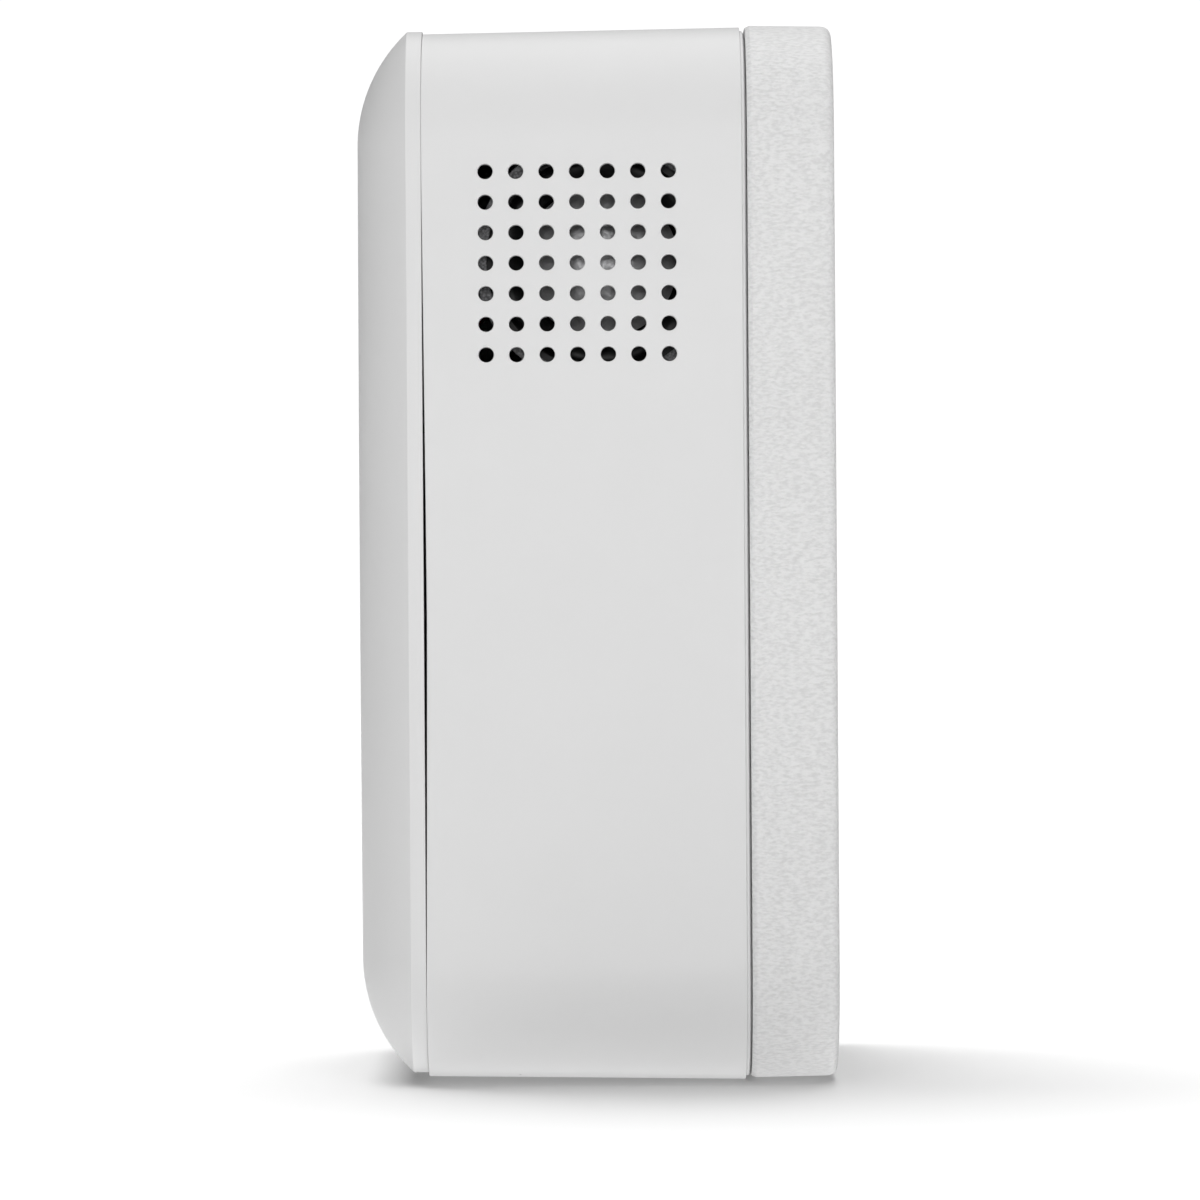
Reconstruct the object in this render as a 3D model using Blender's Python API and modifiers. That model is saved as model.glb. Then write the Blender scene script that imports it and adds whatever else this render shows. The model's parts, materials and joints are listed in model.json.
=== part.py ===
"""Indoor wall siren with a side grille, as an assembly of separate named pieces.

Run with: blender --background --python part.py

Frame: metres, +Z up. The front faces -Y, the wall side faces +Y and the sound leaves through
the grille in the +X side. The origin is the middle of the bounding box's bottom face.
Three mouldings make the outside: a rolled-edge front cover, a smooth main housing and a
textured wall base. The housing hangs on two hooks of the base and swings about the top of the
seam between them. One screw in its underside clamps it to a slotted tab of the base.
"""

import math

import bmesh
import bpy
from mathutils import Matrix, Vector

MM = 0.001

# Outside sizes, at the seam between housing and base, where the siren is largest.
WIDTH = 90 * MM
HEIGHT = 133 * MM
DEPTH = 60 * MM
CORNER = 15 * MM
FRONT_Y = -DEPTH / 2
WALL_Y = DEPTH / 2
BASE_DEPTH = 10.6 * MM
COVER_DEPTH = 8.6 * MM
# The housing hangs on its hooks this much lower than the base.
HANG = 0.2 * MM
SHELL_HEIGHT = HEIGHT - HANG
SEAM = 0.3 * MM
GAP = 0.3 * MM
DRAFT = math.radians(0.85)
WALL = 2.3 * MM
MIDDLE_Z = SHELL_HEIGHT / 2

BASE_FRONT_Y = WALL_Y - BASE_DEPTH
HOUSING_REAR_Y = BASE_FRONT_Y - SEAM
COVER_REAR_Y = FRONT_Y + COVER_DEPTH
HOUSING_FRONT_Y = COVER_REAR_Y + SEAM
FRONT_INSET = (HOUSING_REAR_Y - HOUSING_FRONT_Y) * math.tan(DRAFT)
PARTITION = 1.8 * MM
PARTITION_Y = HOUSING_REAR_Y - PARTITION
FLOOR_Y = WALL_Y - 2.4 * MM

# Front cover: a flat band, then an arc that rolls over to the slightly crowned front.
COVER_INSET = FRONT_INSET + 0.1 * MM
COVER_LIFT = 0.4 * MM
COVER_BAND = 2 * MM
COVER_WALL = 2 * MM
ROLL_RUN = 14.5 * MM
CROWN_RUN = 9 * MM
CROWN_RISE = 0.25 * MM
ROLL_DEPTH = COVER_DEPTH - COVER_BAND - CROWN_RISE
ROLL_STEPS = 6

# Grille in the +X side: a square grid of round holes.
GRILLE_COUNT = 7
GRILLE_PITCH = 3.8 * MM
GRILLE_HOLE = 0.95 * MM
GRILLE_Y = -2.1 * MM
GRILLE_Z = 102.6 * MM

# Sounder: its axis runs along X behind the grille.
SOUNDER_Y = 0.9 * MM
SOUNDER_Z = 103 * MM
SOUNDER_RADIUS = 15.8 * MM
SOUNDER_SCREW_CIRCLE = 17.9 * MM
SOUNDER_SCREW_ANGLES = (180, 50, -50)

# Swing axis of the housing on the base, along X.
PIVOT_Y = HOUSING_REAR_Y + SEAM / 2
PIVOT_Z = HEIGHT - 0.6 * MM

# Places inside the housing, in X and Z.
POST_X = 34.5 * MM
POST_Z = (10 * MM, 123 * MM)
POST_FRONT_Y = HOUSING_FRONT_Y + 3.5 * MM
HOOK_X = 22 * MM
BOARD_LOW = (-40 * MM, 79 * MM)
BOARD_HIGH = (17 * MM, 118.5 * MM)
BOARD_REAR_Y = 12.6 * MM
BOARD_FRONT_Y = 11 * MM
STANDOFFS = [(-36 * MM, 83 * MM), (13 * MM, 115 * MM), (-36 * MM, 115 * MM), (13 * MM, 83 * MM)]
TERMINAL = (-25 * MM, 88 * MM)
TAMPER = (-8 * MM, 108 * MM)
BUTTON = (6 * MM, 92 * MM)
SWITCH = (-21 * MM, 101 * MM)
SWITCH_THROW = 2 * MM
LED = (0, 84 * MM)
LOCK_Y = 15.2 * MM
CELL_PITCH = 15 * MM
CELL_RADIUS = 7.1 * MM
CELL_LENGTH = 50 * MM
TRAY_LOW_Z = 15.2 * MM
TRAY_HIGH_Z = 72.8 * MM
TRAY_HALF = 31.4 * MM
TRAY_WALL = 1.5 * MM
TRAY_FRONT_Y = 1 * MM
DOOR_SCREWS = [(0, 76.3 * MM), (-22 * MM, 12.2 * MM), (22 * MM, 12.2 * MM)]

CORNER_STEPS = 6
ROUND_SIDES = 20
HOLE_SIDES = 10
TURN_STEPS = 24


# ---------------------------------------------------------------- scene helpers


def clear_scene():
    for obj in list(bpy.data.objects):
        bpy.data.objects.remove(obj, do_unlink=True)


def new_collection(name):
    made = bpy.data.collections.new(name)
    bpy.context.scene.collection.children.link(made)
    return made


def material(name, color, roughness, metallic=0.0):
    made = bpy.data.materials.new(name)
    made.use_nodes = True
    shader = made.node_tree.nodes["Principled BSDF"]
    shader.inputs["Base Color"].default_value = (*color, 1)
    shader.inputs["Roughness"].default_value = roughness
    shader.inputs["Metallic"].default_value = metallic
    made.diffuse_color = (*color, 1)
    return made


def move_to(obj, target):
    for owner in list(obj.users_collection):
        owner.objects.unlink(obj)
    target.objects.link(obj)


def finish(obj, name, finish_material):
    """Names an object, gives it its material and puts it with the siren's parts."""
    obj.name = name
    obj.data.name = name
    obj.data.materials.clear()
    obj.data.materials.append(finish_material)
    move_to(obj, PARTS)
    if obj.type == "MESH":
        obj.data.shade_smooth()
        obj.data.set_sharp_from_angle(angle=math.radians(35))
    return obj


def attach(obj, empty):
    """Parents an object to an empty and leaves it where it is."""
    bpy.context.view_layer.update()
    obj.parent = empty
    obj.matrix_parent_inverse = empty.matrix_world.inverted()


def empty_at(name, place):
    made = bpy.data.objects.new(name, None)
    made.location = place
    PARTS.objects.link(made)
    return made


def use_tools(target, tools, operation):
    """Joins the tools to the target, or cuts them from it, with one Boolean."""
    group = bpy.data.collections.new(f"{target.name}_{operation.lower()}")
    CUTTERS.children.link(group)
    for tool in tools:
        move_to(tool, group)
        tool.hide_render = True
        tool.display_type = "WIRE"
    modifier = target.modifiers.new(operation.title(), "BOOLEAN")
    modifier.operation = operation
    modifier.operand_type = "COLLECTION"
    modifier.collection = group
    modifier.solver = "EXACT"


# ---------------------------------------------------------------- shape helpers


def box(low, high, bevel=0.0):
    """A block between two corners, with its outer edges rounded if bevel is given."""
    low, high = Vector(low), Vector(high)
    bpy.ops.mesh.primitive_cube_add(size=1, location=(low + high) / 2)
    made = bpy.context.object
    made.data.transform(Matrix.Diagonal((*(high - low), 1)))
    if bevel:
        modifier = made.modifiers.new("Bevel", "BEVEL")
        modifier.width = bevel
        modifier.segments = 1
    return made


def block(centre, half, y0, y1, bevel=0.0):
    """A block about an (x, z) centre, between two depths."""
    return box(
        (centre[0] - half[0], y0, centre[1] - half[1]),
        (centre[0] + half[0], y1, centre[1] + half[1]),
        bevel,
    )


def rod(radius, start, end, sides=ROUND_SIDES):
    start, end = Vector(start), Vector(end)
    bpy.ops.mesh.primitive_cylinder_add(
        vertices=sides, radius=radius, depth=(end - start).length, location=(start + end) / 2
    )
    made = bpy.context.object
    made.rotation_euler = (end - start).to_track_quat("Z", "Y").to_euler()
    return made


def rod_y(radius, centre, y0, y1, sides=ROUND_SIDES):
    """A rod along Y through an (x, z) centre."""
    return rod(radius, (centre[0], y0, centre[1]), (centre[0], y1, centre[1]), sides)


def turned(profile, start, direction, closed=False, steps=TURN_STEPS):
    """Turns (radius, height) points about a line. They run down the outer side of the shape."""
    mesh = bpy.data.meshes.new("turned")
    count = len(profile)
    edges = [(i, i + 1) for i in range(count - 1)] + ([(count - 1, 0)] if closed else [])
    mesh.from_pydata([(radius, 0, height) for radius, height in profile], edges, [])
    made = bpy.data.objects.new("turned", mesh)
    made.location = start
    made.rotation_euler = Vector(direction).to_track_quat("Z", "Y").to_euler()
    bpy.context.scene.collection.objects.link(made)
    screw = made.modifiers.new("Screw", "SCREW")
    screw.steps = screw.render_steps = steps
    screw.use_merge_vertices = True
    screw.merge_threshold = 0.00001
    return made


def rounded_outline(width, height, radius):
    """(x, z) points of a rounded rectangle about the origin."""
    points = []
    for quarter, (side_x, side_z) in enumerate(((1, 1), (-1, 1), (-1, -1), (1, -1))):
        for step in range(CORNER_STEPS + 1):
            angle = math.pi / 2 * (quarter + step / CORNER_STEPS)
            x = side_x * (width / 2 - radius) + radius * math.cos(angle)
            z = side_z * (height / 2 - radius) + radius * math.sin(angle)
            points.append((x, z))
    return points


def moulding(profile, centre_z=MIDDLE_Z, width=WIDTH, height=SHELL_HEIGHT, corner=CORNER):
    """Carries a wall's (inset, y) profile round a rounded rectangle, and closes both its ends flat."""
    least_corner = 0.2 * MM
    form = bmesh.new()
    rings = []
    for inset, y in profile:
        outline = rounded_outline(
            width - 2 * inset, height - 2 * inset, max(corner - inset, least_corner)
        )
        rings.append([form.verts.new((x, y, centre_z + z)) for x, z in outline])
    for near, far in zip(rings, rings[1:]):
        for i in range(len(near)):
            j = (i + 1) % len(near)
            form.faces.new((near[i], near[j], far[j], far[i]))
    form.faces.new(rings[0])
    form.faces.new(rings[-1])
    bmesh.ops.recalc_face_normals(form, faces=form.faces)
    mesh = bpy.data.meshes.new("moulding")
    form.to_mesh(mesh)
    form.free()
    made = bpy.data.objects.new("moulding", mesh)
    bpy.context.scene.collection.objects.link(made)
    return made


def smooth_route(points, per_span=4):
    """Points along a smooth curve through the given ones."""
    ends = [2 * Vector(points[0]) - Vector(points[1]), 2 * Vector(points[-1]) - Vector(points[-2])]
    knots = [ends[0], *map(Vector, points), ends[1]]
    route = []
    for a, b, c, d in zip(knots, knots[1:], knots[2:], knots[3:]):
        for step in range(per_span):
            t = step / per_span
            pull = (c - a) * t + (2 * a - 5 * b + 4 * c - d) * t**2 + (3 * b - a - 3 * c + d) * t**3
            route.append(b + pull / 2)
    return [*route, knots[-2]]


def wire(points, radius, resolution=2):
    curve = bpy.data.curves.new("wire", "CURVE")
    curve.dimensions = "3D"
    curve.bevel_depth = radius
    curve.bevel_resolution = resolution
    curve.use_fill_caps = True
    spline = curve.splines.new("POLY")
    spline.points.add(len(points) - 1)
    for point, place in zip(spline.points, points):
        point.co = (*place, 1)
    made = bpy.data.objects.new("wire", curve)
    bpy.context.scene.collection.objects.link(made)
    return made


def screw(head_radius, head_height, shank_radius, length, top, direction):
    """A pan-head screw. top is the middle of the head's crown, and direction runs along the shank."""
    rim = 0.3 * MM
    tip = 0.4 * MM
    profile = [
        (0, 0),
        (head_radius - rim, 0),
        (head_radius, -rim),
        (head_radius, -head_height),
        (shank_radius, -head_height),
        (shank_radius, -length + tip),
        (shank_radius - tip, -length),
        (0, -length),
    ]
    return turned(profile, top, -Vector(direction), steps=12)


# ---------------------------------------------------------------- wall base


def wall_base():
    """Textured tray that stays on the wall, with two hooks, a slotted tab and a tamper post."""
    rear_inset = 0.17 * MM
    profile = [
        (2.7 * MM, FLOOR_Y),
        (2.4 * MM, BASE_FRONT_Y),
        (0.8 * MM, BASE_FRONT_Y),
        (0.2 * MM, BASE_FRONT_Y + 0.2 * MM),
        (0, BASE_FRONT_Y + 0.7 * MM),
        (rear_inset, WALL_Y - 1.2 * MM),
        (0.5 * MM, WALL_Y - 0.4 * MM),
        (1.3 * MM, WALL_Y),
    ]
    base = finish(moulding(profile, MIDDLE_Z + HANG), "wall_base", TEXTURED)
    into_floor = FLOOR_Y + 1 * MM
    added = []
    for side in (-1, 1):
        arm_x = side * HOOK_X
        half = 3.5 * MM
        added.append(box((arm_x - half, 12 * MM, 124 * MM), (arm_x + half, into_floor, 126.2 * MM)))
        added.append(box((arm_x - half, 12 * MM, 125 * MM), (arm_x + half, 13.5 * MM, 128 * MM)))
    added.append(box((-6 * MM, 11.5 * MM, 4.8 * MM), (6 * MM, into_floor, 7 * MM)))
    added.append(rod_y(3.2 * MM, TAMPER, 20.9 * MM, into_floor))
    use_tools(base, added, "UNION")

    past = 2 * MM
    slot = 1.95 * MM
    cuts = [box((-11 * MM, FLOOR_Y - past, 60 * MM), (11 * MM, WALL_Y + past, 76 * MM))]
    cuts.append(box((-slot, 10 * MM, 4 * MM), (slot, LOCK_Y, 8 * MM)))
    cuts.append(rod(slot, (0, LOCK_Y, 4 * MM), (0, LOCK_Y, 8 * MM)))
    for side in (-1, 1):
        key = (side * 25 * MM, 96 * MM)
        cuts.append(rod_y(4.4 * MM, key, FLOOR_Y - past, WALL_Y + past))
        slot_top = (key[0], key[1] + 8 * MM)
        neck = (key[0], key[1] + 4 * MM)
        cuts.append(block(neck, (2.3 * MM, 4 * MM), FLOOR_Y - past, WALL_Y + past))
        cuts.append(rod_y(2.3 * MM, slot_top, FLOOR_Y - past, WALL_Y + past))
        cuts.append(rod_y(2.4 * MM, (side * 25 * MM, 34 * MM), FLOOR_Y - past, WALL_Y + past))
    use_tools(base, cuts, "DIFFERENCE")
    return base


# ---------------------------------------------------------------- main housing


def sounder_screw_places():
    for degrees in SOUNDER_SCREW_ANGLES:
        angle = math.radians(degrees)
        yield (
            SOUNDER_Y + SOUNDER_SCREW_CIRCLE * math.cos(angle),
            SOUNDER_Z + SOUNDER_SCREW_CIRCLE * math.sin(angle),
        )


def post_places():
    return [(side * POST_X, z) for z in POST_Z for side in (-1, 1)]


def grille_places():
    middle = (GRILLE_COUNT - 1) / 2
    for row in range(GRILLE_COUNT):
        for column in range(GRILLE_COUNT):
            yield (
                GRILLE_Y + (column - middle) * GRILLE_PITCH,
                GRILLE_Z + (row - middle) * GRILLE_PITCH,
            )


def housing_additions():
    """Screw posts, board standoffs, sounder bosses and screw bosses inside the housing."""
    inside = PARTITION_Y + 0.6 * MM
    added = [rod_y(4 * MM, place, POST_FRONT_Y, inside) for place in post_places()]
    added += [rod_y(2.5 * MM, place, BOARD_REAR_Y + GAP, inside, 12) for place in STANDOFFS]
    added += [rod_y(2.4 * MM, place, 12.4 * MM, inside, 12) for place in DOOR_SCREWS]
    wall_x = WIDTH / 2 - 1.4 * MM
    for y, z in sounder_screw_places():
        added.append(rod(2.05 * MM, (39 * MM, y, z), (wall_x, y, z), 12))
    added.append(rod(3.6 * MM, (0, LOCK_Y, 1.2 * MM), (0, LOCK_Y, 4.3 * MM)))
    return added


def housing_cuts():
    """The grille, the openings in the partition and the screw holes."""
    rear = HOUSING_REAR_Y + 2 * MM
    front = PARTITION_Y - 2 * MM
    cuts = [
        rod(GRILLE_HOLE, (WIDTH / 2 - 5 * MM, y, z), (WIDTH / 2 + 2 * MM, y, z), HOLE_SIDES)
        for y, z in grille_places()
    ]
    inner = TRAY_HALF - TRAY_WALL + GAP
    cuts.append(
        box(
            (-inner, front, TRAY_LOW_Z + TRAY_WALL - GAP),
            (inner, rear, TRAY_HIGH_Z - TRAY_WALL + GAP),
        )
    )
    cuts.append(block(TERMINAL, (6.5 * MM, 5.5 * MM), front, rear))
    cuts.append(rod_y(2.5 * MM, TAMPER, front, rear, 12))
    cuts.append(rod_y(2.1 * MM, BUTTON, front, rear, 12))
    cuts.append(block(SWITCH, (3.2 * MM, 1.7 * MM), front, rear))
    cuts.append(box((-6.6 * MM, front, 4.2 * MM), (6.6 * MM, rear, 9.7 * MM)))
    for side in (-1, 1):
        cuts.append(block((side * HOOK_X, 123.6 * MM), (4.3 * MM, 2.9 * MM), front, rear))
    for place in post_places():
        cuts.append(rod_y(3.1 * MM, place, -11 * MM, rear))
        cuts.append(rod_y(1.8 * MM, place, HOUSING_FRONT_Y, -10 * MM, 12))
    cuts += [rod_y(1.3 * MM, place, BOARD_FRONT_Y, 16.6 * MM, 10) for place in STANDOFFS]
    cuts += [rod_y(1.3 * MM, place, 11 * MM, rear, 10) for place in DOOR_SCREWS]
    for y, z in sounder_screw_places():
        cuts.append(rod(1.25 * MM, (38 * MM, y, z), (42.3 * MM, y, z), 10))
    cuts.append(rod(3.2 * MM, (0, LOCK_Y, -1 * MM), (0, LOCK_Y, 2 * MM)))
    cuts.append(rod(1.8 * MM, (0, LOCK_Y, 1 * MM), (0, LOCK_Y, 5 * MM), 12))
    return cuts


def main_housing():
    """Smooth box, open to the front, with a partition at its rear and a stepped rear lip."""
    front_inner = FRONT_INSET + WALL
    profile = [
        (WALL, PARTITION_Y),
        (front_inner, HOUSING_FRONT_Y),
        (FRONT_INSET + 0.3 * MM, HOUSING_FRONT_Y),
        (FRONT_INSET, HOUSING_FRONT_Y + 0.3 * MM),
        (0, HOUSING_REAR_Y - 1 * MM),
        (0.45 * MM, HOUSING_REAR_Y - 0.9 * MM),
        (0.5 * MM, HOUSING_REAR_Y - 0.6 * MM),
        (1.1 * MM, HOUSING_REAR_Y),
    ]
    housing = finish(moulding(profile), "main_housing", SATIN)
    use_tools(housing, housing_additions(), "UNION")
    use_tools(housing, housing_cuts(), "DIFFERENCE")
    return housing


# ---------------------------------------------------------------- front cover


def roll(run_from, run_to, depth, steps):
    """(inset, y) points of the arc that rolls from a side band over to the front."""
    run = run_to - run_from
    radius = (run**2 + depth**2) / (2 * depth)
    for step in range(steps + 1):
        left = run * (1 - step / steps)
        yield (
            run_to - left,
            radius - math.sqrt(radius**2 - left**2),
        )


def front_cover():
    """Shell with a flat band, a rolled edge all round, a broken locating tongue and screw bosses."""
    flat_from = COVER_INSET + ROLL_RUN
    roll_front = FRONT_Y + CROWN_RISE
    tongue = (COVER_INSET + 3.1 * MM, COVER_INSET + 4.3 * MM)
    tongue_y = HOUSING_FRONT_Y + 1.8 * MM
    inner_y = roll_front + COVER_WALL
    inner_depth = ROLL_DEPTH - COVER_WALL + 1.5 * MM
    profile = [(flat_from + CROWN_RUN, FRONT_Y + COVER_WALL)]
    inside = list(roll(tongue[1], flat_from, inner_depth, ROLL_STEPS))
    profile += [(inset, inner_y + rise) for inset, rise in reversed(inside)]
    profile += [(tongue[1], tongue_y), (tongue[0], tongue_y), (tongue[0], COVER_REAR_Y)]
    profile += [(COVER_INSET + 0.2 * MM, COVER_REAR_Y), (COVER_INSET, COVER_REAR_Y - 0.2 * MM)]
    outside = roll(COVER_INSET, flat_from, ROLL_DEPTH, ROLL_STEPS)
    profile += [(inset, roll_front + rise) for inset, rise in outside]
    profile.append((flat_from + CROWN_RUN, FRONT_Y))
    cover = finish(moulding(profile, MIDDLE_Z + COVER_LIFT), "front_cover", SATIN)
    boss_rear = POST_FRONT_Y - GAP
    bosses = [rod_y(3.4 * MM, place, -26.6 * MM, boss_rear, 16) for place in post_places()]
    use_tools(cover, bosses, "UNION")
    cuts = [rod_y(1.35 * MM, place, -25 * MM, -16 * MM, 10) for place in post_places()]
    cuts.append(rod_y(1.85 * MM, LED, FRONT_Y - MM, FRONT_Y + 4 * MM, 16))
    window_x, window_z = (39 * MM, 43 * MM), (28 * MM, 106 * MM)
    for side in (-1, 1):
        near, far = sorted(side * x for x in window_x)
        cuts.append(
            box((near, COVER_REAR_Y - 0.2 * MM, window_z[0]), (far, tongue_y + MM, window_z[1]))
        )
    use_tools(cover, cuts, "DIFFERENCE")
    return cover


def cover_screws():
    return [
        finish(
            screw(2.7 * MM, 2 * MM, 1.05 * MM, 14 * MM, (x, -8.6 * MM, z), (0, -1, 0)),
            f"cover_screw_{number}",
            ZINC,
        )
        for number, (x, z) in enumerate(post_places(), 1)
    ]


def light_pipe():
    """Clear rod from the indicator on the board to the front of the cover."""
    radius = 1.5 * MM
    flange = 2.6 * MM
    rear = 7.2 * MM
    profile = [
        (0, -FRONT_Y),
        (radius, -FRONT_Y),
        (radius, 27.6 * MM),
        (flange, 27.6 * MM),
        (flange, 26.6 * MM),
        (radius, 26.6 * MM),
        (radius, -rear),
        (0, -rear),
    ]
    return finish(turned(profile, (LED[0], 0, LED[1]), (0, -1, 0), steps=16), "light_pipe", CLEAR)


# ---------------------------------------------------------------- lock screw


def lock_parts():
    """Screw from below, and the square nut above the base's tab that it clamps with."""
    clamp = screw(
        2.75 * MM, 1.4 * MM, 1.5 * MM, 10.2 * MM, (0, LOCK_Y, 0.4 * MM), (0, 0, 1)
    )
    nut_low, nut_high = 7.3 * MM, 9.2 * MM
    half = 2.75 * MM
    nut = finish(
        box((-half, LOCK_Y - half, nut_low), (half, LOCK_Y + half, nut_high)), "lock_nut", ZINC
    )
    hole = rod(1.8 * MM, (0, LOCK_Y, nut_low - MM), (0, LOCK_Y, nut_high + MM), 12)
    use_tools(nut, [hole], "DIFFERENCE")
    return [finish(clamp, "lock_screw", ZINC), nut]


# ---------------------------------------------------------------- sounder


def sounder_turned(profile, name, finish_material, closed=True):
    """A round sounder piece. Heights are distances along X from the middle of the siren."""
    made = turned(profile, (0, SOUNDER_Y, SOUNDER_Z), (1, 0, 0), closed)
    return finish(made, name, finish_material)


def sounder_fixed():
    """Gasket, frame, magnet, yoke, retainer and its three screws."""
    rim = SOUNDER_RADIUS
    gasket = [(rim, 41.9 * MM), (rim, 40.6 * MM), (14.3 * MM, 40.6 * MM), (14.3 * MM, 41.9 * MM)]
    frame = [
        (rim, 40.3 * MM),
        (rim, 39.1 * MM),
        (14.4 * MM, 39.1 * MM),
        (9.6 * MM, 31.3 * MM),
        (9.6 * MM, 28.3 * MM),
        (6.2 * MM, 28.3 * MM),
        (6.2 * MM, 31.6 * MM),
        (8.9 * MM, 31.6 * MM),
        (13.4 * MM, 39 * MM),
        (13.4 * MM, 40.3 * MM),
    ]
    magnet = [(9.4 * MM, 28 * MM), (9.4 * MM, 22.8 * MM), (6.6 * MM, 22.8 * MM), (6.6 * MM, 28 * MM)]
    yoke = [
        (0, 30.4 * MM),
        (4.4 * MM, 30.4 * MM),
        (4.4 * MM, 22.5 * MM),
        (9.5 * MM, 22.5 * MM),
        (9.5 * MM, 20.5 * MM),
        (0, 20.5 * MM),
    ]
    ring = [(rim, 38.7 * MM), (rim, 37.4 * MM), (14.5 * MM, 37.4 * MM), (14.5 * MM, 38.7 * MM)]
    made = [
        sounder_turned(gasket, "sounder_gasket", FOAM),
        sounder_turned(frame, "sounder_frame", BLACK),
        sounder_turned(magnet, "sounder_magnet", FERRITE),
        sounder_turned(yoke, "sounder_yoke", ZINC, closed=False),
    ]
    retainer = sounder_turned(ring, "sounder_retainer", BLACK)
    lugs, holes = [], []
    for number, (y, z) in enumerate(sounder_screw_places(), 1):
        lugs.append(rod(2.9 * MM, (37.4 * MM, y, z), (38.7 * MM, y, z), 16))
        holes.append(rod(1.3 * MM, (37 * MM, y, z), (39 * MM, y, z), 10))
        fixing = screw(1.9 * MM, 1.2 * MM, 0.95 * MM, 5.9 * MM, (35.9 * MM, y, z), (1, 0, 0))
        made.append(finish(fixing, f"sounder_screw_{number}", ZINC))
    use_tools(retainer, lugs, "UNION")
    use_tools(retainer, holes, "DIFFERENCE")
    return [*made, retainer]


def sounder_moving():
    """Cone, dome and voice coil, which move together along X."""
    cone = [
        (13 * MM, 40 * MM),
        (13 * MM, 39.4 * MM),
        (9 * MM, 36.3 * MM),
        (6.1 * MM, 34.9 * MM),
        (6.1 * MM, 35.5 * MM),
        (9 * MM, 36.9 * MM),
    ]
    dome = [
        (0, 40.1 * MM),
        (3.4 * MM, 39.9 * MM),
        (6.6 * MM, 39.2 * MM),
        (9.6 * MM, 38 * MM),
        (9.6 * MM, 37.5 * MM),
        (6.4 * MM, 38.6 * MM),
        (0, 39.4 * MM),
    ]
    coil = [(5.8 * MM, 34.6 * MM), (5.8 * MM, 26.5 * MM), (4.8 * MM, 26.5 * MM), (4.8 * MM, 34.6 * MM)]
    return [
        sounder_turned(cone, "sounder_cone", BLACK),
        sounder_turned(dome, "sounder_dome", DOME_GREY, closed=False),
        sounder_turned(coil, "voice_coil", COPPER),
    ]


# ---------------------------------------------------------------- circuit board


def main_board():
    board = finish(
        box(
            (BOARD_LOW[0], BOARD_FRONT_Y, BOARD_LOW[1]),
            (BOARD_HIGH[0], BOARD_REAR_Y, BOARD_HIGH[1]),
        ),
        "main_board",
        BOARD_GREEN,
    )
    holes = [rod_y(1.4 * MM, place, 10 * MM, 14 * MM, 10) for place in STANDOFFS]
    use_tools(board, holes, "DIFFERENCE")
    screws = [
        finish(
            screw(2 * MM, 1.3 * MM, MM, 6.8 * MM, (x, 9.3 * MM, z), (0, 1, 0)),
            f"board_screw_{number}",
            ZINC,
        )
        for number, (x, z) in enumerate(STANDOFFS[:2], 1)
    ]
    return [board, *screws]


def front_components():
    """What stands on the front of the board."""
    foot = BOARD_FRONT_Y - GAP
    led_radius = 1.5 * MM
    led = [
        (0, 3.2 * MM),
        (1 * MM, 2.8 * MM),
        (led_radius, 1.9 * MM),
        (led_radius, 0.6 * MM),
        (1.9 * MM, 0.6 * MM),
        (1.9 * MM, 0),
        (0, 0),
    ]
    return [
        finish(block((-27 * MM, 105 * MM), (9 * MM, 7 * MM), foot - 2.6 * MM, foot), "radio_module", ZINC),
        finish(block((-7 * MM, 104 * MM), (5 * MM, 5 * MM), foot - 1.5 * MM, foot), "controller_chip", BLACK),
        finish(rod_y(4.5 * MM, (8 * MM, 105 * MM), foot - 6.2 * MM, foot), "drive_inductor", FERRITE),
        finish(rod_y(4 * MM, (-29 * MM, 89 * MM), foot - 11.7 * MM, foot), "capacitor", CAP_SLEEVE),
        finish(block((-16 * MM, 84 * MM), (4 * MM, 2.8 * MM), foot - 6 * MM, foot), "battery_connector", CREAM),
        finish(block((10.5 * MM, 96 * MM), (3.5 * MM, 2.8 * MM), foot - 6 * MM, foot), "sounder_connector", CREAM),
        finish(turned(led, (LED[0], foot, LED[1]), (0, -1, 0), steps=12), "status_led", LED_GREEN),
    ]


def terminal_block():
    """Two-way screw terminal that reaches through the partition to the wires from the wall."""
    foot = BOARD_REAR_Y + GAP
    top = 21.4 * MM
    body = finish(block(TERMINAL, (5 * MM, 4 * MM), foot, top, 0.4 * MM), "terminal_block", CONNECTOR_GREEN)
    made, holes = [body], []
    for number, offset in enumerate((-2.5 * MM, 2.5 * MM), 1):
        place = (TERMINAL[0] + offset, TERMINAL[1] + MM)
        holes.append(rod_y(1.9 * MM, place, 17 * MM, top + MM, 14))
        entry = (TERMINAL[0] + offset, TERMINAL[1] - 3.2 * MM)
        holes.append(block(entry, (1.4 * MM, 2 * MM), 17.6 * MM, 20.4 * MM))
        head = screw(1.6 * MM, 1.4 * MM, MM, 3.7 * MM, (place[0], 21 * MM, place[1]), (0, -1, 0))
        made.append(finish(head, f"terminal_screw_{number}", ZINC))
    use_tools(body, holes, "DIFFERENCE")
    return made


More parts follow.
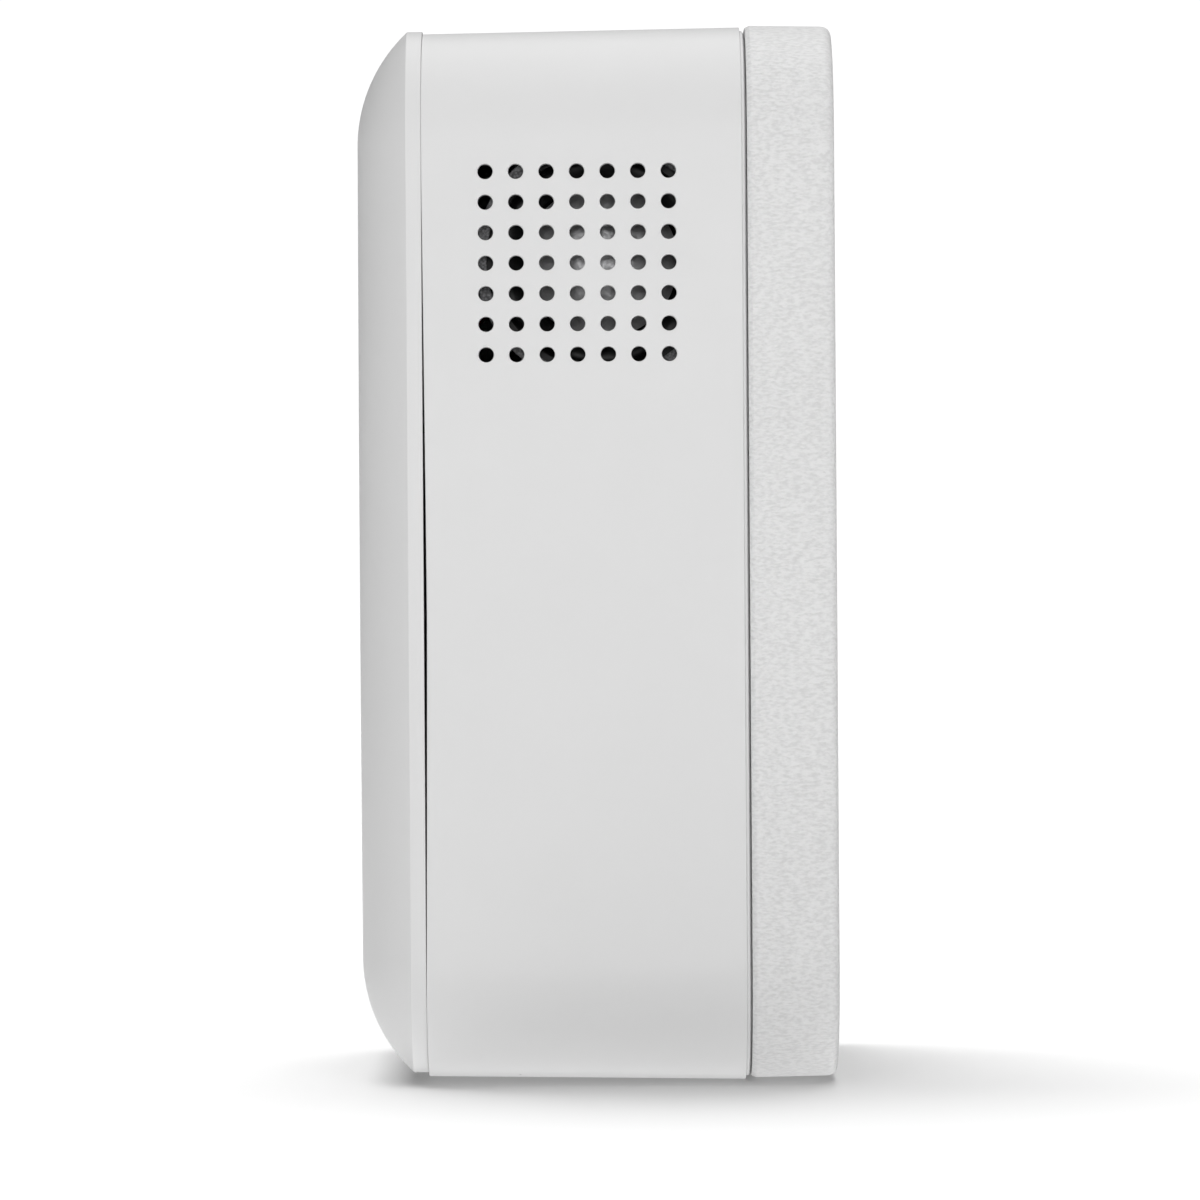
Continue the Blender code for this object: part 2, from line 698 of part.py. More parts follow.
def tamper_switch():
    """Switch body on the board, its hollow plunger through the partition, and the spring inside."""
    foot, top = BOARD_REAR_Y + GAP, PARTITION_Y - GAP
    floor_y, lip_y = foot + 0.5 * MM, top - 0.5 * MM
    body = finish(block(TAMPER, (6 * MM, 4.5 * MM), foot, top), "tamper_switch_body", BLACK)
    well = rod_y(2.8 * MM, TAMPER, floor_y, lip_y, 16)
    mouth = rod_y(2.3 * MM, TAMPER, lip_y - MM, top + MM, 16)
    use_tools(body, [well, mouth], "DIFFERENCE")
    outer, inner, flange = 2 * MM, 1.5 * MM, 2.5 * MM
    foot_y, tip_y, web = floor_y + 0.7 * MM, 20.6 * MM, MM
    profile = [
        (0, tip_y),
        (outer - 0.5 * MM, tip_y),
        (outer, tip_y - 0.5 * MM),
        (outer, foot_y + 0.5 * MM),
        (flange, foot_y + 0.5 * MM),
        (flange, foot_y),
        (inner, foot_y),
        (inner, tip_y - web),
        (0, tip_y - web),
    ]
    plunger = turned(profile, (TAMPER[0], 0, TAMPER[1]), (0, 1, 0), steps=14)
    turns, per_turn, coil_radius = 4, 10, 1.15 * MM
    start_y, end_y = floor_y + 0.4 * MM, tip_y - web - 0.4 * MM
    coil = []
    for step in range(turns * per_turn + 1):
        angle = 2 * math.pi * step / per_turn
        coil.append(
            (
                TAMPER[0] + coil_radius * math.cos(angle),
                start_y + (end_y - start_y) * step / (turns * per_turn),
                TAMPER[1] + coil_radius * math.sin(angle),
            )
        )
    return (
        body,
        finish(plunger, "tamper_plunger", CREAM),
        finish(wire(coil, 0.15 * MM, 1), "tamper_spring", SPRING_STEEL),
    )


def learn_button():
    foot = BOARD_REAR_Y + GAP
    body = finish(block(BUTTON, (3 * MM, 3 * MM), foot, 16.2 * MM), "learn_button_body", ZINC)
    use_tools(body, [rod_y(2 * MM, BUTTON, 13.6 * MM, 18 * MM, 14)], "DIFFERENCE")
    cap = finish(rod_y(1.7 * MM, BUTTON, 14.4 * MM, 19.3 * MM, 16), "learn_button_cap", RED)
    return body, cap


def power_switch():
    foot = BOARD_REAR_Y + GAP
    body = finish(block(SWITCH, (4.3 * MM, 2.4 * MM), foot, 16.4 * MM), "power_switch_body", ZINC)
    slot = block(SWITCH, (2.8 * MM, 1.4 * MM), 14.2 * MM, 18 * MM)
    use_tools(body, [slot], "DIFFERENCE")
    knob = (SWITCH[0] - SWITCH_THROW / 2, SWITCH[1])
    slider = block(knob, (1.5 * MM, 1.1 * MM), 14.6 * MM, 19.7 * MM)
    return body, finish(slider, "power_switch_slider", BLACK)


# ---------------------------------------------------------------- batteries


def battery_tray():
    outer_low, outer_high = TRAY_FRONT_Y, PARTITION_Y - GAP
    tray = finish(
        box((-TRAY_HALF, outer_low, TRAY_LOW_Z), (TRAY_HALF, outer_high, TRAY_HIGH_Z)),
        "battery_tray",
        BLACK,
    )
    inner = TRAY_HALF - TRAY_WALL
    hollow = box(
        (-inner, outer_low + TRAY_WALL, TRAY_LOW_Z + TRAY_WALL),
        (inner, outer_high + MM, TRAY_HIGH_Z - TRAY_WALL),
    )
    use_tools(tray, [hollow], "DIFFERENCE")
    return tray


def battery_cells():
    """Four cells side by side, every second one the other way up."""
    seat_y = TRAY_FRONT_Y + TRAY_WALL + GAP + CELL_RADIUS
    middle_z = (TRAY_LOW_Z + TRAY_HIGH_Z) / 2
    nub_radius, nub_height = 2.7 * MM, 1 * MM
    top = CELL_LENGTH / 2
    profile = [
        (0, top),
        (nub_radius, top),
        (nub_radius, top - nub_height),
        (CELL_RADIUS - 0.5 * MM, top - nub_height),
        (CELL_RADIUS, top - nub_height - 0.5 * MM),
        (CELL_RADIUS, 0.4 * MM - top),
        (CELL_RADIUS - 0.4 * MM, -top),
        (0, -top),
    ]
    cells = []
    for number in range(4):
        x = (number - 1.5) * CELL_PITCH
        way = 1 if number % 2 else -1
        cell = turned(profile, (x, seat_y, middle_z), (0, 0, way), steps=20)
        cells.append(finish(cell, f"battery_cell_{number + 1}", CELL_SLEEVE))
    return cells


def battery_contacts():
    """Plates that join the cells in series: three at the top of the tray and two at the bottom."""
    seat_y = TRAY_FRONT_Y + TRAY_WALL + GAP + CELL_RADIUS
    cell_top = (TRAY_LOW_Z + TRAY_HIGH_Z + CELL_LENGTH) / 2
    spans = [
        (1, -1.5, -1.5),
        (1, -0.5, 0.5),
        (1, 1.5, 1.5),
        (-1, -1.5, -0.5),
        (-1, 0.5, 1.5),
    ]
    contacts = []
    for number, (end, first, last) in enumerate(spans, 1):
        middle_z = (TRAY_LOW_Z + TRAY_HIGH_Z) / 2
        near = cell_top - middle_z + GAP
        far = TRAY_HIGH_Z - TRAY_WALL - middle_z - GAP
        plate_low, plate_high = far - 0.5 * MM, far
        x0, x1 = first * CELL_PITCH - 5.5 * MM, last * CELL_PITCH + 5.5 * MM
        z0, z1 = sorted((middle_z + end * plate_low, middle_z + end * plate_high))
        plate = finish(
            box((x0, seat_y - 5 * MM, z0), (x1, seat_y + 5 * MM, z1)),
            f"battery_contact_{number}",
            SPRING_STEEL,
        )
        centres = sorted({first, last})
        pips = [
            rod(
                2.2 * MM,
                (place * CELL_PITCH, seat_y, middle_z + end * near),
                (place * CELL_PITCH, seat_y, middle_z + end * (far - 0.2 * MM)),
                12,
            )
            for place in centres
        ]
        use_tools(plate, pips, "UNION")
        contacts.append(plate)
    return contacts


def battery_cover():
    """Lid over the opening in the partition, with a locating rim and three screw lugs."""
    plate_low, plate_high = HOUSING_REAR_Y + GAP, HOUSING_REAR_Y + 1.7 * MM
    lid = finish(
        box(
            (-TRAY_HALF, plate_low, TRAY_LOW_Z - 0.4 * MM),
            (TRAY_HALF, plate_high, TRAY_HIGH_Z + 0.4 * MM),
        ),
        "battery_cover",
        SATIN,
    )
    rim_half = TRAY_HALF - TRAY_WALL
    added = [
        box(
            (-rim_half, PARTITION_Y + 0.5 * MM, TRAY_LOW_Z + TRAY_WALL),
            (rim_half, plate_low + 0.5 * MM, TRAY_HIGH_Z - TRAY_WALL),
        )
    ]
    holes = []
    made = [lid]
    for number, (x, z) in enumerate(DOOR_SCREWS, 1):
        inward = math.copysign(4 * MM, MIDDLE_Z / 2 + 10 * MM - z)
        added.append(rod_y(3.4 * MM, (x, z), plate_low, plate_high, 16))
        added.append(block((x, z + inward), (3.4 * MM, 4 * MM), plate_low, plate_high))
        holes.append(rod_y(1.4 * MM, (x, z), plate_low - MM, plate_high + MM, 10))
        top = plate_high + GAP + 1.4 * MM
        fixing = screw(2.3 * MM, 1.4 * MM, MM, 8 * MM, (x, top, z), (0, -1, 0))
        made.append(finish(fixing, f"battery_cover_screw_{number}", ZINC))
    use_tools(lid, added, "UNION")
    use_tools(lid, holes, "DIFFERENCE")
    return made


# ---------------------------------------------------------------- wiring


def wiring():
    """Leads from the sounder and the batteries to the board, and the aerial along the left wall."""
    plug_y = BOARD_FRONT_Y - GAP - 6 * MM - GAP
    lead = 0.6 * MM
    made = []
    for name, colour, offset in (("red", RED, -MM), ("black", BLACK, MM)):
        sounder_route = [
            (32 * MM, -10.6 * MM, 101 * MM + 2 * offset),
            (29 * MM, -14 * MM, 99 * MM + 2 * offset),
            (22 * MM, -15 * MM, 96 * MM + 1.5 * offset),
            (14 * MM, -9 * MM, 95.5 * MM + offset),
            (10.5 * MM + offset, -2 * MM, 96 * MM),
            (10.5 * MM + offset, plug_y, 96 * MM),
        ]
        battery_route = [
            (-16 * MM + 4 * offset, 5 * MM, TRAY_HIGH_Z + GAP),
            (-16 * MM + 4 * offset, 4 * MM, 75.5 * MM),
            (-16 * MM + 3 * offset, -1 * MM, 78.5 * MM),
            (-16 * MM + 1.5 * offset, -2 * MM, 82 * MM),
            (-16 * MM + 1.5 * offset, plug_y, 84 * MM),
        ]
        made.append(finish(wire(smooth_route(sounder_route), lead), f"sounder_lead_{name}", colour))
        made.append(finish(wire(smooth_route(battery_route), lead), f"battery_lead_{name}", colour))
    aerial_route = [
        (-38 * MM, 10.6 * MM, 97 * MM),
        (-39.5 * MM, 7 * MM, 95 * MM),
        (-40.5 * MM, 2 * MM, 88 * MM),
        (-40.5 * MM, 1 * MM, 70 * MM),
        (-40.5 * MM, 1 * MM, 50 * MM),
        (-40.5 * MM, 1 * MM, 30 * MM),
    ]
    made.append(finish(wire(smooth_route(aerial_route, 3), 0.55 * MM), "aerial_wire", GREY))
    return made


# ---------------------------------------------------------------- assembly

clear_scene()
PARTS = new_collection("alarm_siren")
CUTTERS = new_collection("tools")

SATIN = material("satin_white_plastic", (0.80, 0.80, 0.80), 0.42)
TEXTURED = material("textured_white_plastic", (0.79, 0.79, 0.79), 0.6)
BLACK = material("black_plastic", (0.02, 0.02, 0.022), 0.5)
GREY = material("grey_insulation", (0.3, 0.3, 0.31), 0.5)
RED = material("red_plastic", (0.5, 0.03, 0.03), 0.45)
CREAM = material("cream_plastic", (0.75, 0.72, 0.62), 0.45)
ZINC = material("zinc_steel", (0.62, 0.62, 0.6), 0.32, 1)
SPRING_STEEL = material("spring_steel", (0.66, 0.66, 0.64), 0.28, 1)
COPPER = material("enamelled_copper", (0.6, 0.28, 0.12), 0.35, 1)
FERRITE = material("ferrite", (0.06, 0.06, 0.065), 0.7)
FOAM = material("grey_foam", (0.16, 0.16, 0.165), 0.9)
DOME_GREY = material("dome_grey", (0.2, 0.2, 0.2), 0.35, 0.6)
BOARD_GREEN = material("board_green", (0.02, 0.16, 0.06), 0.4)
CONNECTOR_GREEN = material("connector_green", (0.03, 0.3, 0.12), 0.45)
LED_GREEN = material("led_green", (0.2, 0.6, 0.25), 0.2)
CLEAR = material("clear_acrylic", (0.85, 0.88, 0.86), 0.1)
CELL_SLEEVE = material("cell_sleeve", (0.05, 0.09, 0.2), 0.35)
CAP_SLEEVE = material("capacitor_sleeve", (0.04, 0.05, 0.09), 0.4)

base_empty = empty_at("base_frame", (0, WALL_Y, MIDDLE_Z))
swing_empty = empty_at("housing_swing_axis", (0, PIVOT_Y, PIVOT_Z))
sounder_empty = empty_at("sounder_axis", (40 * MM, SOUNDER_Y, SOUNDER_Z))
tamper_empty = empty_at("tamper_axis", (TAMPER[0], HOUSING_REAR_Y, TAMPER[1]))
button_empty = empty_at("button_axis", (BUTTON[0], HOUSING_REAR_Y, BUTTON[1]))
slider_empty = empty_at("slider_axis", (SWITCH[0] - SWITCH_THROW / 2, HOUSING_REAR_Y, SWITCH[1]))
for follower in (sounder_empty, tamper_empty, button_empty, slider_empty):
    attach(follower, swing_empty)

switch_body, switch_plunger, switch_spring = tamper_switch()
button_body, button_cap = learn_button()
slide_body, slider = power_switch()

attach(wall_base(), base_empty)
fixed_in_housing = [
    main_housing(),
    front_cover(),
    *cover_screws(),
    light_pipe(),
    *lock_parts(),
    *sounder_fixed(),
    *main_board(),
    *front_components(),
    *terminal_block(),
    switch_body,
    button_body,
    slide_body,
    battery_tray(),
    *battery_cells(),
    *battery_contacts(),
    *battery_cover(),
    *wiring(),
]
for piece in fixed_in_housing:
    attach(piece, swing_empty)
for piece in sounder_moving():
    attach(piece, sounder_empty)
for piece in (switch_plunger, switch_spring):
    attach(piece, tamper_empty)
attach(button_cap, button_empty)
attach(slider, slider_empty)
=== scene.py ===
"""The indoor wall siren's looks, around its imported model.

The three outside mouldings, the sounder, the fasteners and what shows on the housing's rear are made
again here as fine meshes. The other nodes keep their shape and get a finish. Everything is in metres,
in the model's own frame: +Z up, the front faces -Y, the wall side +Y, and the grille is in the +X side.
"""

import json
import math

import bmesh
import bpy
from mathutils import Matrix, Vector, noise

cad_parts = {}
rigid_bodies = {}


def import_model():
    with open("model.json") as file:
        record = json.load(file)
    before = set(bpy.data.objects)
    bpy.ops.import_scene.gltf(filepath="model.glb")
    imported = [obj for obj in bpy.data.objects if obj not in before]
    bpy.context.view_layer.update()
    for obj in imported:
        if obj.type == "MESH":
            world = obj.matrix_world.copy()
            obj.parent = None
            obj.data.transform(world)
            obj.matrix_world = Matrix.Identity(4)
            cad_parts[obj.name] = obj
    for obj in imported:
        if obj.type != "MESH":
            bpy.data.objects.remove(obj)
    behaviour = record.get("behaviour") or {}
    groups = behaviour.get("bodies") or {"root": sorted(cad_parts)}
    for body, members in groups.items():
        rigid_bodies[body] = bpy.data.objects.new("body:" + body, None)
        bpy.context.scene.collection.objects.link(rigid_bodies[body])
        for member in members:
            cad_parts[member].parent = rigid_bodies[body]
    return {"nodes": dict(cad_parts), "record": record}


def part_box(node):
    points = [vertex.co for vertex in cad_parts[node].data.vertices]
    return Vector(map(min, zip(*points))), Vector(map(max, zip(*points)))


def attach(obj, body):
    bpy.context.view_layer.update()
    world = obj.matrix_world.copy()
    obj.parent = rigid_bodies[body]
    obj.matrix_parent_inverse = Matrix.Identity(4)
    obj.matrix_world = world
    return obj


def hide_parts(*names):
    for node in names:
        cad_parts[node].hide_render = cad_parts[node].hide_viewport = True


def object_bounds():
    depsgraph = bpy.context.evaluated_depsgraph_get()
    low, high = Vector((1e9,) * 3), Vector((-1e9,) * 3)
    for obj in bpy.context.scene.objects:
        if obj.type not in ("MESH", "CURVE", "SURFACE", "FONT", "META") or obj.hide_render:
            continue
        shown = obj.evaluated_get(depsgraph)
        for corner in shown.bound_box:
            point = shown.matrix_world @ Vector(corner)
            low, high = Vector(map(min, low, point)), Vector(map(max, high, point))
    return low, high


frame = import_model()
cad_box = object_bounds()

MM = 0.001


def mm(*values):
    """Millimetres in metres."""
    return tuple(value * MM for value in values)


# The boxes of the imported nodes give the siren's sizes and the places of its seams.
BASE_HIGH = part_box("wall_base")[1]
HOUSING_LOW, HOUSING_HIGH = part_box("main_housing")
COVER_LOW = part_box("front_cover")[0]
TRAY_LOW, TRAY_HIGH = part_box("battery_tray")
BOARD_LOW, BOARD_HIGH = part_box("main_board")
DOME_LOW, DOME_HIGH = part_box("sounder_dome")

WIDTH = HOUSING_HIGH.x - HOUSING_LOW.x
HEIGHT = HOUSING_HIGH.z - HOUSING_LOW.z
MIDDLE_Z = (HOUSING_HIGH.z + HOUSING_LOW.z) / 2
HANG = BASE_HIGH.z - HOUSING_HIGH.z
CORNER = 15 * MM
GAP = 0.3 * MM
WALL = 2.3 * MM
DRAFT = math.radians(0.85)
WALL_Y = BASE_HIGH.y
FLOOR_Y = WALL_Y - 2.4 * MM
HOUSING_FRONT_Y = HOUSING_LOW.y
HOUSING_REAR_Y = HOUSING_HIGH.y
BASE_FRONT_Y = HOUSING_REAR_Y + GAP
PARTITION_Y = HOUSING_REAR_Y - 1.8 * MM
FRONT_Y = COVER_LOW.y
COVER_REAR_Y = HOUSING_FRONT_Y - GAP
FRONT_INSET = (HOUSING_REAR_Y - HOUSING_FRONT_Y) * math.tan(DRAFT)

# Front cover: a flat band, then an arc that rolls over to the slightly crowned front.
COVER_LIFT = 0.4 * MM
COVER_INSET = FRONT_INSET + 0.1 * MM
COVER_BAND = 2 * MM
COVER_WALL = 2 * MM
ROLL_RUN = 14.5 * MM
CROWN = 0.25 * MM
TONGUE_FROM = 3.1 * MM
TONGUE_THICK = 1.2 * MM
TONGUE_Y = HOUSING_FRONT_Y + 1.8 * MM

# The gap between cover and housing is widest a little below the middle, and closes towards the corners.
SEAM_MIDDLE_Z = 58 * MM
SEAM_RUN_UP = 56 * MM
SEAM_RUN_DOWN = 48 * MM
SEAM_MOST = 0.38 * MM
SEAM_LEAST = 0.01 * MM
SEAM_POWER = 1.2
COVER_EDGE_Y = HOUSING_FRONT_Y - SEAM_MOST

# The base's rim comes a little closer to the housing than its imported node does.
BASE_EDGE_Y = BASE_FRONT_Y - 0.28 * MM

GRILLE_COUNT = 7
GRILLE_PITCH = 3.8 * MM
GRILLE_HOLE = 0.95 * MM
GRILLE_Y = -2.1 * MM
GRILLE_Z = 102.6 * MM

SOUNDER_Y = (DOME_LOW.y + DOME_HIGH.y) / 2
SOUNDER_Z = (DOME_LOW.z + DOME_HIGH.z) / 2
SOUNDER_SCREW_CIRCLE = 17.9 * MM
SOUNDER_SCREW_ANGLES = (180, 50, -50)

# Places inside the housing, in X and Z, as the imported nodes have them.
POST_X = 34.5 * MM
POST_Z = mm(10, 123)
POST_FRONT_Y = HOUSING_FRONT_Y + 3.5 * MM
HOOK_X = 22 * MM
LOCK_Y = 15.2 * MM
STANDOFFS = [mm(-36, 83), mm(13, 115), mm(-36, 115), mm(13, 83)]
TERMINAL = mm(-25, 88)
TAMPER = mm(-8, 108)
BUTTON = mm(6, 92)
SWITCH = mm(-21, 101)
LED = mm(0, 84)
TRAY_WALL = 1.5 * MM
DOOR_SCREWS = [mm(0, 76.3), mm(-22, 12.2), mm(22, 12.2)]

# Edges that turn by more than this stay sharp.
SHARP_FROM = math.radians(32)

CORNER_STEPS = 20
TURN_STEPS = 64
SMALL_STEPS = 32


# ------------------------ object helpers


def link(obj):
    """Puts an object in the scene and hands it back."""
    bpy.context.scene.collection.objects.link(obj)
    return obj


def from_form(form, name):
    """An object from a bmesh, with its faces pointing out."""
    bmesh.ops.recalc_face_normals(form, faces=form.faces)
    mesh = bpy.data.meshes.new(name)
    form.to_mesh(mesh)
    form.free()
    return link(bpy.data.objects.new(name, mesh))


def apply_modifiers(obj):
    """Turns what the modifiers show into the object's own mesh."""
    bpy.context.view_layer.update()
    seen = obj.evaluated_get(bpy.context.evaluated_depsgraph_get())
    mesh = bpy.data.meshes.new_from_object(seen)
    name = obj.name
    bpy.data.objects.remove(obj)
    return link(bpy.data.objects.new(name, mesh))


def use_tools(target, tools, operation):
    """Joins the tools to the target, or cuts them from it, and removes them."""
    group = bpy.data.collections.new("tools")
    for tool in tools:
        for owner in list(tool.users_collection):
            owner.objects.unlink(tool)
        group.objects.link(tool)
    bpy.context.scene.collection.children.link(group)
    modifier = target.modifiers.new("Boolean", "BOOLEAN")
    modifier.operation = operation
    modifier.operand_type = "COLLECTION"
    modifier.collection = group
    modifier.solver = "MANIFOLD"
    made = apply_modifiers(target)
    for tool in list(group.objects):
        bpy.data.objects.remove(tool)
    bpy.data.collections.remove(group)
    return made


def finish(obj, node, body, slot, ending="fine"):
    """Smooths a piece, gives it its slot's look, names it after its node, and says what it rides on."""
    obj.data.materials.clear()
    obj.data.materials.append(SLOT_LOOKS[slot])
    obj.data.shade_smooth()
    obj.data.set_sharp_from_angle(angle=SHARP_FROM)
    modifier = obj.modifiers.new("Normals", "WEIGHTED_NORMAL")
    modifier.keep_sharp = True
    obj = apply_modifiers(obj)
    obj.name = f"{node}_{ending}"
    obj.data.name = obj.name
    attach(obj, body)
    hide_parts(node)


def rounded_copy(node, bevel, body, slot):
    """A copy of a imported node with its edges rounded, which stands for the node."""
    form = bmesh.new()
    form.from_mesh(frame["nodes"][node].data)
    bmesh.ops.remove_doubles(form, verts=form.verts, dist=0.001 * MM)
    bmesh.ops.dissolve_limit(
        form, angle_limit=math.radians(1), verts=form.verts, edges=form.edges, use_dissolve_boundaries=False
    )
    made = from_form(form, node)
    modifier = made.modifiers.new("Bevel", "BEVEL")
    modifier.width = bevel
    modifier.segments = 3
    modifier.limit_method = "ANGLE"
    modifier.angle_limit = math.radians(40)
    made = apply_modifiers(made)
    finish(made, node, body, slot)


# ------------------------ shape helpers


def box(low, high, bevel=0.0, segments=3):
    """A block between two corners, with its edges rounded if asked."""
    low, high = Vector(low), Vector(high)
    form = bmesh.new()
    bmesh.ops.create_cube(form, size=1)
    bmesh.ops.scale(form, vec=high - low, verts=form.verts)
    bmesh.ops.translate(form, vec=(low + high) / 2, verts=form.verts)
    if bevel:
        bmesh.ops.bevel(
            form, geom=form.edges, offset=bevel, segments=segments, affect="EDGES", profile=0.5
        )
    return from_form(form, "box")


def turned(profile, start, direction, steps=TURN_STEPS):
    """Turns (radius, height) points about a line through start. A ring's profile ends where it starts."""
    form = bmesh.new()
    points = [form.verts.new((radius, 0, height)) for radius, height in profile]
    edges = [form.edges.new(pair) for pair in zip(points, points[1:])]
    bmesh.ops.spin(
        form,
        geom=[*points, *edges],
        cent=(0, 0, 0),
        axis=(0, 0, 1),
        angle=2 * math.pi,
        steps=steps,
        use_duplicate=False,
    )
    bmesh.ops.remove_doubles(form, verts=form.verts, dist=0.0001 * MM)
    bmesh.ops.transform(form, matrix=placing(start, direction), verts=form.verts)
    return from_form(form, "turned")


def placing(start, direction):
    """The matrix that moves the origin to start and turns +Z along direction."""
    turn = Vector(direction).to_track_quat("Z", "Y").to_matrix().to_4x4()
    return Matrix.Translation(start) @ turn


def rod(radius, start, end, sides=SMALL_STEPS):
    """A solid cylinder between two points."""
    start, end = Vector(start), Vector(end)
    length = (end - start).length
    return turned([(0, length), (radius, length), (radius, 0), (0, 0)], start, end - start, sides)


def rod_y(radius, centre, y0, y1, sides=SMALL_STEPS):
    """A solid cylinder along Y, at an (x, z) centre."""
    return rod(radius, (centre[0], y0, centre[1]), (centre[0], y1, centre[1]), sides)


def filleted(corners, steps=4):
    """Rounds a path of (across, along, fillet radius) corners, and returns its points."""
    points = []
    for number, (across, along, radius) in enumerate(corners):
        here = Vector((across, along))
        if not radius or number in (0, len(corners) - 1):
            points.append((across, along))
            continue
        back = Vector(corners[number - 1][:2]) - here
        ahead = Vector(corners[number + 1][:2]) - here
        half_turn = back.angle(ahead) / 2
        reach = min(radius / math.tan(half_turn), back.length * 0.49, ahead.length * 0.49)
        first = here + back.normalized() * reach
        last = here + ahead.normalized() * reach
        for step in range(steps + 1):
            t = step / steps
            spot = first * (1 - t) ** 2 + here * 2 * t * (1 - t) + last * t**2
            points.append((spot.x, spot.y))
    return points


def rounded_outline(width, height, radius, corner_steps, side_steps):
    """(x, z) points of a rounded rectangle about the origin, with extra points along its sides."""
    corners = []
    for quarter, (side_x, side_z) in enumerate(((1, 1), (-1, 1), (-1, -1), (1, -1))):
        middle = Vector((side_x * (width / 2 - radius), side_z * (height / 2 - radius)))
        corners.append([])
        for step in range(corner_steps + 1):
            angle = math.pi / 2 * (quarter + step / corner_steps)
            corners[-1].append(middle + radius * Vector((math.cos(angle), math.sin(angle))))
    points = []
    for arc, next_arc in zip(corners, corners[1:] + corners[:1]):
        points += arc
        points += [arc[-1].lerp(next_arc[0], step / side_steps) for step in range(1, side_steps)]
    return points


def loft(profile, centre, size, corner, corner_steps=8, side_steps=1):
    """Carries an (inset, y) profile round a rounded rectangle, and closes both its ends flat."""
    least_corner = 0.05 * MM
    form = bmesh.new()
    rings = []
    for inset, y in profile:
        radius = max(corner - inset, least_corner)
        outline = rounded_outline(
            size[0] - 2 * inset, size[1] - 2 * inset, radius, corner_steps, side_steps
        )
        rings.append([form.verts.new((centre[0] + x, y, centre[1] + z)) for x, z in outline])
    for near, far in zip(rings, rings[1:]):
        for i in range(len(near)):
            j = (i + 1) % len(near)
            form.faces.new((near[i], near[j], far[j], far[i]))
    form.faces.new(rings[0])
    form.faces.new(rings[-1])
    return from_form(form, "loft")


def hole_path(y0, y1, flare0, flare1):
    """(outward, y) points of a hole between two faces, where a flare rounds the hole's edge."""
    beyond, past_face = 2 * MM, 0.004 * MM
    points = []
    for face_y, side, flare in ((y0, -1, flare0), (y1, 1, flare1)):
        y = face_y + side * past_face if flare else face_y
        mouth = []
        for step in range(4 if flare else 1):
            angle = math.pi / 2 * step / 3
            mouth.append((flare * (1 - math.cos(angle)), y - side * flare * (1 - math.sin(angle))))
        if flare:
            mouth.append((flare, y + side * beyond))
        points += mouth if side > 0 else reversed(mouth)
    return points


def bore(radius, centre, y0, y1, flare0=0.0, flare1=0.0, steps=SMALL_STEPS):
    """A tool that cuts a round hole along Y. It ends flat at a face that has no flare."""
    path = [(radius + outward, y) for outward, y in hole_path(y0, y1, flare0, flare1)]
    profile = [(0, path[0][1]), *path, (0, path[-1][1])]
    return turned(profile, (centre[0], 0, centre[1]), (0, 1, 0), steps)


def pocket(centre, half, corner, y0, y1, flare0=0.0, flare1=0.0):
    """A tool that cuts an oblong hole along Y."""
    path = [(-outward, y) for outward, y in hole_path(y0, y1, flare0, flare1)]
    return loft(path, centre, (2 * half[0], 2 * half[1]), corner)


def screw(head_radius, head_height, shank_radius, length, top, direction, slotted=False):
    """A pan-head screw with rolled threads and a driving recess. top is the middle of its crown."""
    crown = head_height * 0.6
    pitch, thread = 0.6 * MM, 0.22 * MM
    profile = []
    for step in range(7):
        angle = math.pi / 2 * step / 6
        profile.append((head_radius * math.sin(angle), crown * (math.cos(angle) - 1)))
    profile += [(head_radius, -head_height + 0.1 * MM), (head_radius - 0.1 * MM, -head_height)]
    root = shank_radius - thread
    depth = head_height
    profile.append((root, -depth))
    while depth + pitch < length - 0.5 * MM:
        profile += [(root, -depth - pitch * 0.45), (shank_radius, -depth - pitch * 0.7)]
        profile.append((root, -depth - pitch * 0.95))
        depth += pitch
    profile += [(root, -length + 0.4 * MM), (root * 0.4, -length), (0, -length)]
    body = turned(profile, (0, 0, 0), (0, 0, 1), SMALL_STEPS)
    wing, span = head_radius * 0.13, head_radius * (1.2 if slotted else 0.58)
    floor = -head_height * 0.7
    tools = [box((-span, -wing, floor), (span, wing, MM))]
    if not slotted:
        tools.append(box((-wing, -span, floor), (wing, span, MM)))
    made = use_tools(body, tools, "DIFFERENCE")
    made.data.transform(placing(top, -Vector(direction)))
    return made


# ------------------------ finishes


def new_look(name, color, roughness, metallic=0.0, **sockets):
    """A Principled material, and functions that add a node and link two sockets."""
    made = bpy.data.materials.new(name)
    made.use_nodes = True
    made.diffuse_color = (*color, 1)
    tree = made.node_tree
    shader = tree.nodes["Principled BSDF"]
    shader.inputs["Base Color"].default_value = (*color, 1)
    shader.inputs["Roughness"].default_value = roughness
    shader.inputs["Metallic"].default_value = metallic
    for socket, value in sockets.items():
        shader.inputs[socket.replace("_", " ")].default_value = value

    def add(kind, settings=None, **inputs):
        node = tree.nodes.new(kind)
        for key, value in (settings or {}).items():
            setattr(node, key, value)
        for key, value in inputs.items():
            socket = node.inputs[key.replace("_", " ")]
            if isinstance(value, bpy.types.NodeSocket):
                tree.links.new(value, socket)
            else:
                socket.default_value = value
        return node

    return made, shader, add, tree.links.new


def places(add, scale=(1, 1, 1), tilt=0.0):
    """Object coordinates, turned by tilt about X and multiplied by scale along each axis."""
    spot = add("ShaderNodeTexCoord").outputs["Object"]
    mapping = add("ShaderNodeMapping", Vector=spot, Scale=scale, Rotation=(tilt, 0, 0))
    return mapping.outputs["Vector"]


def clouds(add, scale, detail=3, stretch=(1, 1, 1), tilt=0.0):
    """Soft noise from 0 to 1. A larger scale is finer."""
    spot = places(add, stretch, tilt)
    return add("ShaderNodeTexNoise", Vector=spot, Scale=scale, Detail=detail, Roughness=0.55).outputs["Fac"]


